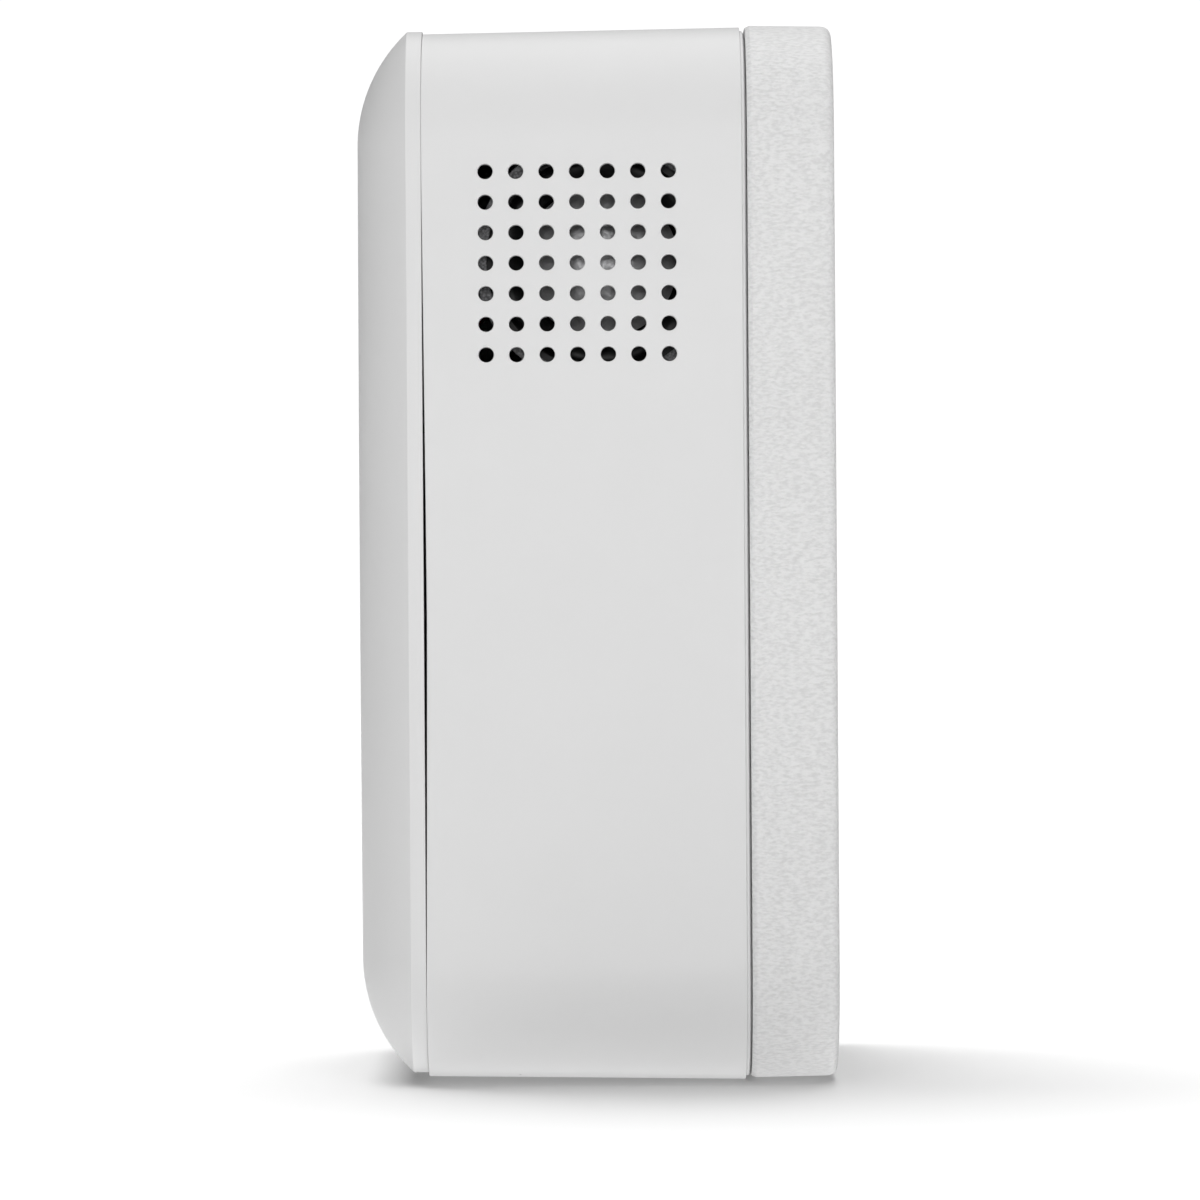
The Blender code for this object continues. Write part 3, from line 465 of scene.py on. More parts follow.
def tones(add, factor, dark, light, low=0.3, high=0.7):
    """Turns a factor into a colour that runs from dark at low to light at high."""
    ramp = add("ShaderNodeValToRGB", Fac=factor)
    ramp.color_ramp.elements[0].position = low
    ramp.color_ramp.elements[0].color = (*dark, 1)
    ramp.color_ramp.elements[1].position = high
    ramp.color_ramp.elements[1].color = (*light, 1)
    return ramp.outputs["Color"]


def between(add, value, low, high):
    """Stretches a 0 to 1 value to low to high."""
    return add("ShaderNodeMapRange", Value=value, To_Min=low, To_Max=high).outputs["Result"]


def below(add, join, value, limit):
    """1 where the value is below the limit, and 0 elsewhere."""
    node = add("ShaderNodeMath", {"operation": "LESS_THAN"})
    join(value, node.inputs[0])
    node.inputs[1].default_value = limit
    return node.outputs["Value"]


def blend_tones(add, join, factor, first, second):
    """Mixes two colours, each a socket or a colour, by a factor socket."""
    mix = add("ShaderNodeMix", {"data_type": "RGBA"})
    join(factor, mix.inputs["Factor"])
    for color, socket in ((first, mix.inputs[6]), (second, mix.inputs[7])):
        if isinstance(color, bpy.types.NodeSocket):
            join(color, socket)
        else:
            socket.default_value = (*color, 1)
    return mix.outputs[2]


def multiply_tones(add, join, first, second):
    """Darkens one colour socket by another."""
    mix = add("ShaderNodeMix", {"data_type": "RGBA", "blend_type": "MULTIPLY"})
    mix.inputs["Factor"].default_value = 1
    join(first, mix.inputs[6])
    join(second, mix.inputs[7])
    return mix.outputs[2]


def paint(join, shader, tone, gloss):
    """Gives the shader a colour socket and a roughness socket."""
    join(tone, shader.inputs["Base Color"])
    join(gloss, shader.inputs["Roughness"])


def raise_surface(add, join, shader, height, depth, strength=1.0):
    """Bends the surface's normals as a relief of this height and depth would."""
    bump = add("ShaderNodeBump", Height=height, Strength=strength, Distance=depth)
    join(bump.outputs["Normal"], shader.inputs["Normal"])


def shade(color, factor):
    """A lighter or darker colour."""
    return tuple(min(channel * factor, 1) for channel in color)


def moulded_plastic(
    name, color, roughness, grain, depth, stretch=(1, 1, 1), tilt=0.0, specks=False, painted_hollow_shade=1.0
):
    """Moulded plastic: faint flow mottling, uneven gloss and a surface grain, with painted shade in
    the grain's low spots if asked, and stray dust if asked."""
    look, shader, add, join = new_look(name, color, roughness, Specular_IOR_Level=0.3)
    tone = tones(add, clouds(add, 28), shade(color, 0.985), shade(color, 1.01))
    if specks:
        cells = add("ShaderNodeTexVoronoi", Vector=places(add), Scale=95, Randomness=1)
        speck = below(add, join, cells.outputs["Distance"], 0.017)
        tone = blend_tones(add, join, speck, tone, shade(color, 0.6))
    texture = clouds(add, grain, 3, stretch, tilt)
    # Painted shade: where the grain is low, the base colour is darkened to stand for shade in its pits.
    if painted_hollow_shade < 1:
        painted_hollow_tone = tones(add, texture, shade((1, 1, 1), painted_hollow_shade), (1, 1, 1), 0.35, 0.6)
        tone = multiply_tones(add, join, tone, painted_hollow_tone)
    paint(join, shader, tone, between(add, clouds(add, 160, 4), roughness - 0.05, roughness + 0.05))
    raise_surface(add, join, shader, texture, depth)
    return look


def plated_metal(name, color, roughness, grain=900, depth=0.006 * MM):
    """Plated or bare metal with fine working marks and uneven polish."""
    look, shader, add, join = new_look(name, color, roughness, 1.0)
    cloud = clouds(add, 300, 4)
    tone = tones(add, cloud, shade(color, 0.8), shade(color, 1.05))
    paint(join, shader, tone, between(add, cloud, roughness * 0.7, roughness * 1.35))
    raise_surface(add, join, shader, clouds(add, grain, 2, (1, 1, 6)), depth, 0.6)
    return look


def crinkled_film(name, color, roughness, metallic, depth):
    """Thin pressed film: small crinkles, and a sheen that changes from one to the next."""
    look, shader, add, join = new_look(name, color, roughness, metallic)
    spread = clouds(add, 420, 3)
    tone = tones(add, spread, shade(color, 0.75), shade(color, 1.15))
    paint(join, shader, tone, between(add, spread, roughness * 0.8, roughness * 1.3))
    creases = add("ShaderNodeTexVoronoi", {"feature": "DISTANCE_TO_EDGE"}, Vector=places(add), Scale=900)
    raise_surface(add, join, shader, creases.outputs["Distance"], depth)
    return look


def grained_solid(name, color, roughness, cell_scale, depth, spread=0.35):
    """Ground ferrite or closed-cell foam: a speckle of cells, each pitted and a little off in tone."""
    look, shader, add, join = new_look(name, color, roughness)
    cells = add("ShaderNodeTexVoronoi", Vector=places(add), Scale=cell_scale)
    tone = tones(add, cells.outputs["Distance"], shade(color, 1 + spread), shade(color, 1 - spread))
    gloss = between(add, clouds(add, cell_scale), roughness - 0.08, roughness + 0.05)
    paint(join, shader, tone, gloss)
    raise_surface(add, join, shader, cells.outputs["Distance"], depth)
    return look


def solder_mask(name):
    """Green board: traces under the mask as paler lines, tinned pads, and the weave below."""
    green, trace, tin = (0.012, 0.11, 0.045), (0.02, 0.19, 0.075), (0.55, 0.55, 0.5)
    look, shader, add, join = new_look(name, green, 0.3)
    lines = add(
        "ShaderNodeTexBrick",
        {"offset": 0.37, "squash": 1.6, "squash_frequency": 3},
        Vector=places(add, (1, 1, 1), math.pi / 2),
        Scale=140,
        Mortar_Size=0.035,
        Brick_Width=0.9,
        Row_Height=0.22,
    )
    tone = blend_tones(add, join, lines.outputs["Fac"], green, trace)
    pads = add("ShaderNodeTexVoronoi", Vector=places(add), Scale=330, Randomness=0.6)
    pad = below(add, join, pads.outputs["Distance"], 0.14)
    tone = blend_tones(add, join, pad, tone, tin)
    paint(join, shader, tone, between(add, clouds(add, 900), 0.22, 0.4))
    weave = add("ShaderNodeTexWave", Vector=places(add), Scale=700, Distortion=1.5)
    raise_surface(add, join, shader, weave.outputs["Fac"], 0.006 * MM)
    return look


def banded(name, color, roughness, metallic, scale, depth, direction="X"):
    """Windings or a wrapped sleeve: fine bands across one axis."""
    look, shader, add, join = new_look(name, color, roughness, metallic)
    settings = {"wave_type": "BANDS", "bands_direction": direction}
    bands = add("ShaderNodeTexWave", settings, Vector=places(add), Scale=scale, Distortion=0.4)
    tone = tones(add, bands.outputs["Fac"], shade(color, 0.6), shade(color, 1.1))
    paint(join, shader, tone, between(add, clouds(add, 400), roughness * 0.8, roughness * 1.2))
    raise_surface(add, join, shader, bands.outputs["Fac"], depth)
    return look


def clear_plastic(name, color, roughness, clearness):
    """Clear or tinted acrylic with faint flow lines and polish marks."""
    look, shader, add, join = new_look(name, color, roughness, Transmission_Weight=clearness, IOR=1.49)
    cloud = clouds(add, 500, 3)
    tone = tones(add, cloud, shade(color, 0.94), shade(color, 1.02))
    paint(join, shader, tone, between(add, cloud, roughness * 0.6, roughness * 1.6))
    raise_surface(add, join, shader, clouds(add, 350, 2), 0.01 * MM)
    return look


WHITE = (0.64, 0.64, 0.64)
SLOT_LOOKS = {
    "satin_white_plastic": moulded_plastic("satin_white", WHITE, 0.42, 5200, 0.004 * MM, specks=True),
    # The textured base's grain carries painted shade in its low spots.
    "textured_white_plastic": moulded_plastic(
        "textured_white", shade(WHITE, 1.09), 0.6, 3000, 0.16 * MM, (1, 0.4, 1), 0.3, painted_hollow_shade=0.86
    ),
    "black_plastic": moulded_plastic("black_plastic", (0.025, 0.025, 0.026), 0.5, 3000, 0.01 * MM),
    "cone_film": crinkled_film("cone_film", (0.012, 0.012, 0.013), 0.45, 0.0, 0.03 * MM),
    "dome_film": crinkled_film("dome_film", (0.5, 0.5, 0.51), 0.36, 0.4, 0.05 * MM),
    "cream_plastic": moulded_plastic("cream_plastic", (0.62, 0.58, 0.46), 0.42, 2500, 0.006 * MM),
    "green_plastic": moulded_plastic("green_plastic", (0.02, 0.22, 0.09), 0.4, 2500, 0.006 * MM),
    "red_plastic": moulded_plastic("red_plastic", (0.42, 0.02, 0.02), 0.38, 2500, 0.006 * MM),
    "red_insulation": moulded_plastic("red_insulation", (0.4, 0.015, 0.015), 0.36, 1800, 0.012 * MM),
    "black_insulation": moulded_plastic("black_insulation", (0.012, 0.012, 0.013), 0.36, 1800, 0.012 * MM),
    "grey_insulation": moulded_plastic("grey_insulation", (0.25, 0.25, 0.26), 0.4, 1800, 0.012 * MM),
    "clear_acrylic": clear_plastic("clear_acrylic", (0.93, 0.95, 0.94), 0.08, 0.9),
    "led_lens": clear_plastic("green_lens", (0.25, 0.7, 0.3), 0.15, 0.6),
    "circuit_board": solder_mask("solder_mask"),
    "zinc_steel": plated_metal("zinc_plate", (0.62, 0.62, 0.6), 0.3),
    "spring_steel": plated_metal("nickel_plate", (0.64, 0.62, 0.57), 0.24),
    "component_can": plated_metal("tinned_can", (0.6, 0.6, 0.58), 0.36, 1500),
    "copper_winding": banded("copper_winding", (0.6, 0.26, 0.1), 0.3, 1.0, 1500, 0.04 * MM),
    "ferrite": grained_solid("ferrite", (0.05, 0.05, 0.055), 0.6, 2600, 0.02 * MM),
    "foam": grained_solid("foam", (0.17, 0.17, 0.175), 0.85, 3200, 0.08 * MM),
    "cell_sleeve": banded("cell_sleeve", (0.03, 0.06, 0.16), 0.28, 0.35, 60, 0.004 * MM, "Z"),
    "capacitor_sleeve": banded("capacitor_sleeve", (0.02, 0.025, 0.06), 0.32, 0.2, 90, 0.004 * MM, "Y"),
}


# ------------------------ places


def post_places():
    """(x, z) of the four posts that the cover's screws go through."""
    return [(side * POST_X, z) for z in POST_Z for side in (-1, 1)]


def grille_places():
    """(y, z) of every hole in the grille."""
    middle = (GRILLE_COUNT - 1) / 2
    for row in range(GRILLE_COUNT):
        for column in range(GRILLE_COUNT):
            yield (
                GRILLE_Y + (column - middle) * GRILLE_PITCH,
                GRILLE_Z + (row - middle) * GRILLE_PITCH,
            )


def sounder_screw_places():
    """(y, z) of the sounder's three screws."""
    for degrees in SOUNDER_SCREW_ANGLES:
        angle = math.radians(degrees)
        yield (
            SOUNDER_Y + SOUNDER_SCREW_CIRCLE * math.cos(angle),
            SOUNDER_Z + SOUNDER_SCREW_CIRCLE * math.sin(angle),
        )


# ------------------------ front cover


def roll(run_from, run_to, depth, steps):
    """(inset, depth) points of the arc that rolls from a side band over to the front."""
    run = run_to - run_from
    radius = (run**2 + depth**2) / (2 * depth)
    for step in range(steps + 1):
        left = run * (1 - step / steps)
        yield (run_to - left, radius - math.sqrt(radius**2 - left**2))


def cover_profile():
    """The cover's wall: from the middle of its inside, round the tongue and rear edge, to the front."""
    flat_from = COVER_INSET + ROLL_RUN
    roll_front = FRONT_Y + CROWN
    roll_depth = COVER_REAR_Y - COVER_BAND - roll_front
    tongue_out = COVER_INSET + TONGUE_FROM
    tongue_in = tongue_out + TONGUE_THICK
    inner_y = roll_front + COVER_WALL
    inner_depth = roll_depth - COVER_WALL + 1.5 * MM
    soft, crisp = mm(0.3, 0.1)
    flats = [flat_from + step * 4 * MM for step in range(1, 7)]
    inside = list(roll(tongue_in, flat_from, inner_depth, 12))
    outside = list(roll(COVER_INSET, flat_from, roll_depth, 28))
    profile = [(inset, inner_y) for inset in reversed(flats)]
    profile += [(inset, inner_y + rise) for inset, rise in reversed(inside)]
    profile += filleted(
        [
            (tongue_in, TONGUE_Y - 0.4 * MM, 0),
            (tongue_in, TONGUE_Y, soft),
            (tongue_out, TONGUE_Y, soft),
            (tongue_out, COVER_EDGE_Y, crisp),
            (COVER_INSET, COVER_EDGE_Y, crisp),
            (COVER_INSET, COVER_EDGE_Y - 0.5 * MM, 0),
        ]
    )
    profile += filleted(
        [
            (COVER_INSET, COVER_REAR_Y - COVER_BAND + 0.5 * MM, 0),
            (COVER_INSET, COVER_REAR_Y - COVER_BAND, 0.2 * MM),
            (outside[1][0], roll_front + outside[1][1], 0),
        ]
    )
    profile += [(inset, roll_front + rise) for inset, rise in outside[2:]]
    profile += [(inset, roll_front) for inset in flats]
    return profile


def front_cover():
    """Shell with a flat band, a crease, a rolled edge and a slight crown. Windows break its tongue."""
    middle = (0, MIDDLE_Z + COVER_LIFT)
    shell = loft(cover_profile(), middle, (WIDTH, HEIGHT), CORNER, CORNER_STEPS, 16)
    half_x, half_z = WIDTH / 2 - COVER_INSET, HEIGHT / 2 - COVER_INSET
    for vertex in shell.data.vertices:
        if vertex.co.y < COVER_REAR_Y - COVER_BAND:
            share_x = vertex.co.x / half_x
            share_z = (vertex.co.z - middle[1]) / half_z
            vertex.co.y -= CROWN * max(1 - share_x**2, 0) * max(1 - share_z**2, 0)
    boss, boss_hole, pipe_hole = mm(3.4, 1.35, 1.85)
    boss_front, hole_end, boss_rear = -26.6 * MM, -25 * MM, POST_FRONT_Y - GAP
    bosses = [rod_y(boss, place, boss_front, boss_rear) for place in post_places()]
    shell = use_tools(shell, bosses, "UNION")
    cuts = [bore(boss_hole, place, hole_end, boss_rear, 0, 0.3 * MM) for place in post_places()]
    cuts.append(bore(pipe_hole, LED, FRONT_Y, FRONT_Y + 4 * MM, 0.2 * MM, 0))
    window_x, window_z = mm(39, 43), mm(28, 106)
    low, high = COVER_REAR_Y - 0.2 * MM, TONGUE_Y + MM
    for side in (-1, 1):
        near, far = sorted(side * x for x in window_x)
        cuts.append(box((near, low, window_z[0]), (far, high, window_z[1])))
    shell = use_tools(shell, cuts, "DIFFERENCE")
    finish(shell, "front_cover", "housing", "satin_white_plastic", "shell")


def light_pipe():
    """Clear rod from the indicator to the front, with a lightly domed end."""
    radius, flange, flange_front, flange_rear = mm(1.5, 2.6, -27.6, -26.6)
    rise, rear = mm(0.25, 7.2)
    profile = [(0, FRONT_Y)]
    for step in range(1, 6):
        angle = math.pi / 2 * step / 5
        profile.append((radius * math.sin(angle), FRONT_Y + rise * (1 - math.cos(angle))))
    profile += [(radius, flange_front), (flange, flange_front), (flange, flange_rear)]
    profile += [(radius, flange_rear), (radius, rear), (0, rear)]
    made = turned(profile, (LED[0], 0, LED[1]), (0, 1, 0), 48)
    finish(made, "light_pipe", "housing", "clear_acrylic")


# ------------------------ main housing


def side_x(y):
    """How far out the housing's drafted side is at a depth."""
    return WIDTH / 2 - (HOUSING_REAR_Y - y) * math.tan(DRAFT)


def grille_tool(y, z):
    """A rod along X whose outer end flares, so that the hole it cuts has a rounded mouth."""
    flare = 0.1 * MM
    reach = MM
    out = side_x(y)
    profile = [(0, out + reach), (GRILLE_HOLE + flare, out + reach)]
    for step in range(4):
        angle = math.pi / 2 * step / 3
        across = GRILLE_HOLE + flare * (1 - math.sin(angle))
        profile.append((across, out - flare * (1 - math.cos(angle))))
    profile += [(GRILLE_HOLE, out - WALL - reach), (0, out - WALL - reach)]
    return turned(profile, (0, y, z), (1, 0, 0), 36)


def housing_additions():
    """Posts, board standoffs, sounder bosses and screw bosses inside the housing."""
    inside = PARTITION_Y + 0.6 * MM
    board_seat = BOARD_HIGH.y + GAP
    door_boss_front = 12.4 * MM
    post, standoff, door_boss, sounder_boss, lock_boss = mm(4, 2.5, 2.4, 2.05, 3.6)
    added = [rod_y(post, place, POST_FRONT_Y, inside) for place in post_places()]
    added += [rod_y(standoff, place, board_seat, inside) for place in STANDOFFS]
    added += [rod_y(door_boss, place, door_boss_front, inside) for place in DOOR_SCREWS]
    wall_x = WIDTH / 2 - 1.4 * MM
    for y, z in sounder_screw_places():
        added.append(rod(sounder_boss, (39 * MM, y, z), (wall_x, y, z)))
    lock_low, lock_high = mm(1.2, 4.3)
    added.append(rod(lock_boss, (0, LOCK_Y, lock_low), (0, LOCK_Y, lock_high)))
    return added


def partition_openings():
    """Oblong and round openings in the partition: (middle, half size, corner) and (middle, radius)."""
    tray_middle = (0, (TRAY_LOW.z + TRAY_HIGH.z) / 2)
    tray_half = (TRAY_HIGH.x - TRAY_WALL + GAP, (TRAY_HIGH.z - TRAY_LOW.z) / 2 - TRAY_WALL + GAP)
    oblong = [
        (tray_middle, tray_half, MM),
        (TERMINAL, mm(6.5, 5.5), MM),
        (SWITCH, mm(3.2, 1.7), 0.5 * MM),
        (mm(0, 6.95), mm(6.6, 2.75), 0.5 * MM),
    ]
    for side in (-1, 1):
        oblong.append(((side * HOOK_X, 123.6 * MM), mm(4.3, 2.9), 0.5 * MM))
    return oblong, [(TAMPER, 2.5 * MM), (BUTTON, 2.1 * MM)]


def housing_cuts():
    """The grille, the openings in the partition with rounded edges, and the screw holes."""
    rear = HOUSING_REAR_Y
    front = PARTITION_Y - 2 * MM
    edge = 0.3 * MM
    oblong, round_ones = partition_openings()
    cuts = [grille_tool(y, z) for y, z in grille_places()]
    cuts += [pocket(middle, half, corner, front, rear, 0, edge) for middle, half, corner in oblong]
    cuts += [bore(radius, middle, front, rear, 0, edge) for middle, radius in round_ones]
    head_hole, shank_hole, head_seat_y = mm(3.1, 1.8, -11)
    for place in post_places():
        cuts.append(bore(head_hole, place, head_seat_y, rear, 0, edge))
        cuts.append(rod_y(shank_hole, place, HOUSING_FRONT_Y, head_seat_y + MM))
    thread_hole, standoff_end, boss_end = mm(1.3, 16.6, 11)
    cuts += [rod_y(thread_hole, place, BOARD_LOW.y, standoff_end) for place in STANDOFFS]
    cuts += [bore(thread_hole, place, boss_end, rear, 0, 0.2 * MM) for place in DOOR_SCREWS]
    sounder_hole, hole_from, hole_to = mm(1.25, 38, 42.3)
    for y, z in sounder_screw_places():
        cuts.append(rod(sounder_hole, (hole_from, y, z), (hole_to, y, z)))
    counterbore = [mm(0, -1), mm(3.5, -1), mm(3.5, 0), mm(3.25, 0.1), mm(3.2, 0.35), mm(3.2, 2)]
    counterbore += [mm(1.8, 2), mm(1.8, 5), mm(0, 5)]
    cuts.append(turned(counterbore, (0, LOCK_Y, 0), (0, 0, 1)))
    return cuts


def close_seam_towards_corners(shell):
    """Moves the housing's front rim forward, so that the seam is widest at its middle."""
    rim_depth = 0.35 * MM
    for vertex in shell.data.vertices:
        if vertex.co.y < HOUSING_FRONT_Y + rim_depth:
            away = vertex.co.z - SEAM_MIDDLE_Z
            share = min(abs(away) / (SEAM_RUN_UP if away > 0 else SEAM_RUN_DOWN), 1)
            vertex.co.y -= (SEAM_MOST - SEAM_LEAST) * share**SEAM_POWER


def main_housing():
    """Smooth drafted box with a grille, and a partition at its rear inside a stepped lip."""
    step_y, step, soft = HOUSING_REAR_Y - 0.65 * MM, 0.42 * MM, 0.12 * MM
    corners = [
        (WALL, PARTITION_Y, 0),
        (FRONT_INSET + WALL, HOUSING_FRONT_Y, 0.2 * MM),
        (FRONT_INSET, HOUSING_FRONT_Y, soft),
        (0, step_y, 0.08 * MM),
        (step, step_y + 0.04 * MM, 0.05 * MM),
        (step + 0.04 * MM, HOUSING_REAR_Y - 0.3 * MM, soft),
        (1.1 * MM, HOUSING_REAR_Y, 0),
    ]
    shell = loft(filleted(corners), (0, MIDDLE_Z), (WIDTH, HEIGHT), CORNER, CORNER_STEPS, 24)
    close_seam_towards_corners(shell)
    shell = use_tools(shell, housing_additions(), "UNION")
    shell = use_tools(shell, housing_cuts(), "DIFFERENCE")
    finish(shell, "main_housing", "housing", "satin_white_plastic", "shell")


# ------------------------ wall base


def base_additions():
    """Two hooks, the slotted tab and the tamper post."""
    into_floor = FLOOR_Y + MM
    edge = 0.35 * MM
    hook_half, hook_y, lip_y = mm(3.5, 12, 13.5)
    arm_low, arm_high, lip_low, lip_high = mm(124, 126.2, 125, 128)
    tab_half, tab_y, tab_low, tab_high = mm(6, 11.5, 4.8, 7)
    added = []
    for side in (-1, 1):
        low_x, high_x = side * HOOK_X - hook_half, side * HOOK_X + hook_half
        added.append(box((low_x, hook_y, arm_low), (high_x, into_floor, arm_high), edge))
        added.append(box((low_x, hook_y, lip_low), (high_x, lip_y, lip_high), edge))
    added.append(box((-tab_half, tab_y, tab_low), (tab_half, into_floor, tab_high), edge))
    tip, radius, chamfer = mm(20.9, 3.2, 0.3)
    post = [(0, tip), (radius - chamfer, tip), (radius, tip + chamfer), (radius, into_floor)]
    post.append((0, into_floor))
    added.append(turned(post, (TAMPER[0], 0, TAMPER[1]), (0, 1, 0)))
    return added


def base_cuts():
    """The holes, the tab's slot and the ejector marks, and the keyholes' necks, which are cut later."""
    edge, neck_edge = mm(0.3, 0.24)
    through, neck_through = (FLOOR_Y, WALL_Y, edge, edge), (FLOOR_Y, WALL_Y, neck_edge, neck_edge)
    slot, slot_low, slot_high = mm(1.95, 4, 8)
    head, head_z, neck_half, neck_z = 4.4 * MM, 96 * MM, mm(2.3, 4.65), 101.65 * MM
    lower_hole, lower_z = mm(2.4, 34)
    mark, mark_depth, mark_x = mm(2.6, 0.12, 36)
    cuts = [pocket(mm(0, 68), mm(11, 8), 1.5 * MM, *through)]
    cuts.append(box((-slot, 10 * MM, slot_low), (slot, LOCK_Y, slot_high)))
    cuts.append(rod(slot, (0, LOCK_Y, slot_low), (0, LOCK_Y, slot_high)))
    necks = []
    for side in (-1, 1):
        x = side * 25 * MM
        cuts.append(bore(head, (x, head_z), *through))
        necks.append(pocket((x, neck_z), neck_half, 2.25 * MM, *neck_through))
        cuts.append(bore(lower_hole, (x, lower_z), *through))
        for z in mm(14, 52, 84, 119):
            cuts.append(rod_y(mark, (side * mark_x, z), WALL_Y - mark_depth, WALL_Y + MM))
    return cuts, necks


def wall_base():
    """Textured tray, a little narrower to its rear, with hooks, a tab, a post and its holes."""
    rear_inset, soft = mm(0.17, 0.2)
    corners = [
        (2.7 * MM, FLOOR_Y, 0),
        (2.4 * MM, BASE_EDGE_Y, soft),
        (0.3 * MM, BASE_EDGE_Y, soft),
        (0, BASE_EDGE_Y + 0.6 * MM, 0.4 * MM),
        (rear_inset, WALL_Y, 1.5 * MM),
        (3 * MM, WALL_Y, 0),
    ]
    middle = (0, MIDDLE_Z + HANG)
    shell = loft(filleted(corners, 6), middle, (WIDTH, HEIGHT), CORNER, CORNER_STEPS, 12)
    shell = use_tools(shell, base_additions(), "UNION")
    for cuts in base_cuts():
        shell = use_tools(shell, cuts, "DIFFERENCE")
    finish(shell, "wall_base", "base", "textured_white_plastic", "shell")


# ------------------------ sounder


def crumple(obj, amount, scale, seed):
    """Pushes a thin film in and out along X by smooth noise, less towards its rim."""
    for vertex in obj.data.vertices:
        offset = Vector((0, vertex.co.y - SOUNDER_Y, vertex.co.z - SOUNDER_Z))
        share = max(1 - (offset.length / (10 * MM)) ** 4, 0)
        spot = offset * scale + Vector((seed, 0, 0))
        vertex.co.x += amount * share * (noise.noise(spot) + 0.5 * noise.noise(spot * 2.3))


def sounder_dome():
    """Crinkled metallised film, domed out to a thin edge, its crinkles fading towards the rim."""
    rings = 26
    radius, rise, edge_x = mm(9.6, 1.9, 38.1)
    film = 0.35 * MM
    front = []
    for step in range(rings + 1):
        across = radius * step / rings
        front.append((across, edge_x + rise * (1 - (across / radius) ** 2)))
    back = [(across, x - film) for across, x in reversed(front)]
    dome = turned([*front, *back], (0, SOUNDER_Y, SOUNDER_Z), (1, 0, 0), 96)
    crumple(dome, 0.09 * MM, 620, 3)
    finish(dome, "sounder_dome", "diaphragm", "dome_film", "film")


def sounder_cone():
    """Black cone with fine ribs and a half-round surround at its outer edge."""
    profile = [mm(6.1, 35.5)]
    ribs, run = 5, mm(6.4, 9.4)
    for step in range(4 * ribs + 1):
        share = step / (4 * ribs)
        across = run[0] + (run[1] - run[0]) * share
        ripple = 0.06 * MM * math.sin(2 * math.pi * ribs * share)
        profile.append((across, 35.55 * MM + 1.4 * MM * share + ripple))
    inner, outer, rise = mm(9.8, 12.8, 1.2)
    for step in range(13):
        angle = math.pi * step / 12
        across = (inner + outer) / 2 - (outer - inner) / 2 * math.cos(angle)
        lift = 37.3 * MM + (39.4 * MM - 37.3 * MM) * step / 12
        profile.append((across, min(lift + rise * math.sin(angle), 40 * MM)))
    profile += [mm(13, 39.7), mm(13, 39.4), mm(9, 36.35), mm(6.1, 34.95)]
    profile.append(profile[0])
    cone = turned(profile, (0, SOUNDER_Y, SOUNDER_Z), (1, 0, 0), 96)
    finish(cone, "sounder_cone", "diaphragm", "cone_film", "film")


def sounder_rings():
    """Gasket and frame, with rounded rims. Each corner is (radius, x, rounding) in millimetres."""
    gasket = [(14.9, 41.9, 0), (15.8, 41.9, 0.25), (15.8, 40.6, 0.25)]
    gasket += [(14.3, 40.6, 0.25), (14.3, 41.9, 0.25), (14.9, 41.9, 0)]
    basket = [(14.5, 40.3, 0), (15.8, 40.3, 0.2), (15.8, 39.1, 0.2), (14.4, 39.1, 0.4)]
    basket += [(9.6, 31.3, 0.6), (9.6, 28.3, 0.2), (6.2, 28.3, 0.2), (6.2, 31.6, 0.2)]
    basket += [(8.9, 31.6, 0.5), (13.4, 39, 0.4), (13.4, 40.3, 0.2), (14.5, 40.3, 0)]
    rows = (("sounder_gasket", "foam", gasket), ("sounder_frame", "black_plastic", basket))
    for node, slot, corners in rows:
        profile = filleted([mm(*corner) for corner in corners])
        made = turned(profile, (0, SOUNDER_Y, SOUNDER_Z), (1, 0, 0), 96)
        finish(made, node, "housing", slot)


# ------------------------ fasteners


def fasteners():
    """Every screw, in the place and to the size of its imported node."""
    down_y, up_y = (0, -1, 0), (0, 1, 0)
    # Node, head radius and height, shank radius and length in millimetres, middle of the head, direction
    rows = []
    for number, (x, z) in enumerate(post_places(), 1):
        rows.append((f"cover_screw_{number}", 2.7, 2, 1.05, 14, (x, -8.6 * MM, z), down_y))
    rows.append(("lock_screw", 2.75, 1.4, 1.5, 10.2, (0, LOCK_Y, 0.4 * MM), (0, 0, 1)))
    for number, (y, z) in enumerate(sounder_screw_places(), 1):
        rows.append((f"sounder_screw_{number}", 1.9, 1.2, 0.95, 5.9, (35.9 * MM, y, z), (1, 0, 0)))
    for number, (x, z) in enumerate(STANDOFFS[:2], 1):
        rows.append((f"board_screw_{number}", 2, 1.3, 1, 6.8, (x, 9.3 * MM, z), up_y))
    for number, (x, z) in enumerate(DOOR_SCREWS, 1):
        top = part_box(f"battery_cover_screw_{number}")[1].y
        rows.append((f"battery_cover_screw_{number}", 2.3, 1.4, 1, 8, (x, top, z), down_y))
    for name, head, head_height, shank, length, top, direction in rows:
        made = screw(*mm(head, head_height, shank, length), top, direction)
        finish(made, name, "housing", "zinc_steel")
    for number, offset in enumerate(mm(-2.5, 2.5), 1):
        name = f"terminal_screw_{number}"
        top = (TERMINAL[0] + offset, 21 * MM, TERMINAL[1] + MM)
        made = screw(*mm(1.6, 1.4, 1, 3.7), top, down_y, slotted=True)
        finish(made, name, "housing", "zinc_steel")


# ------------------------ rear side of the housing


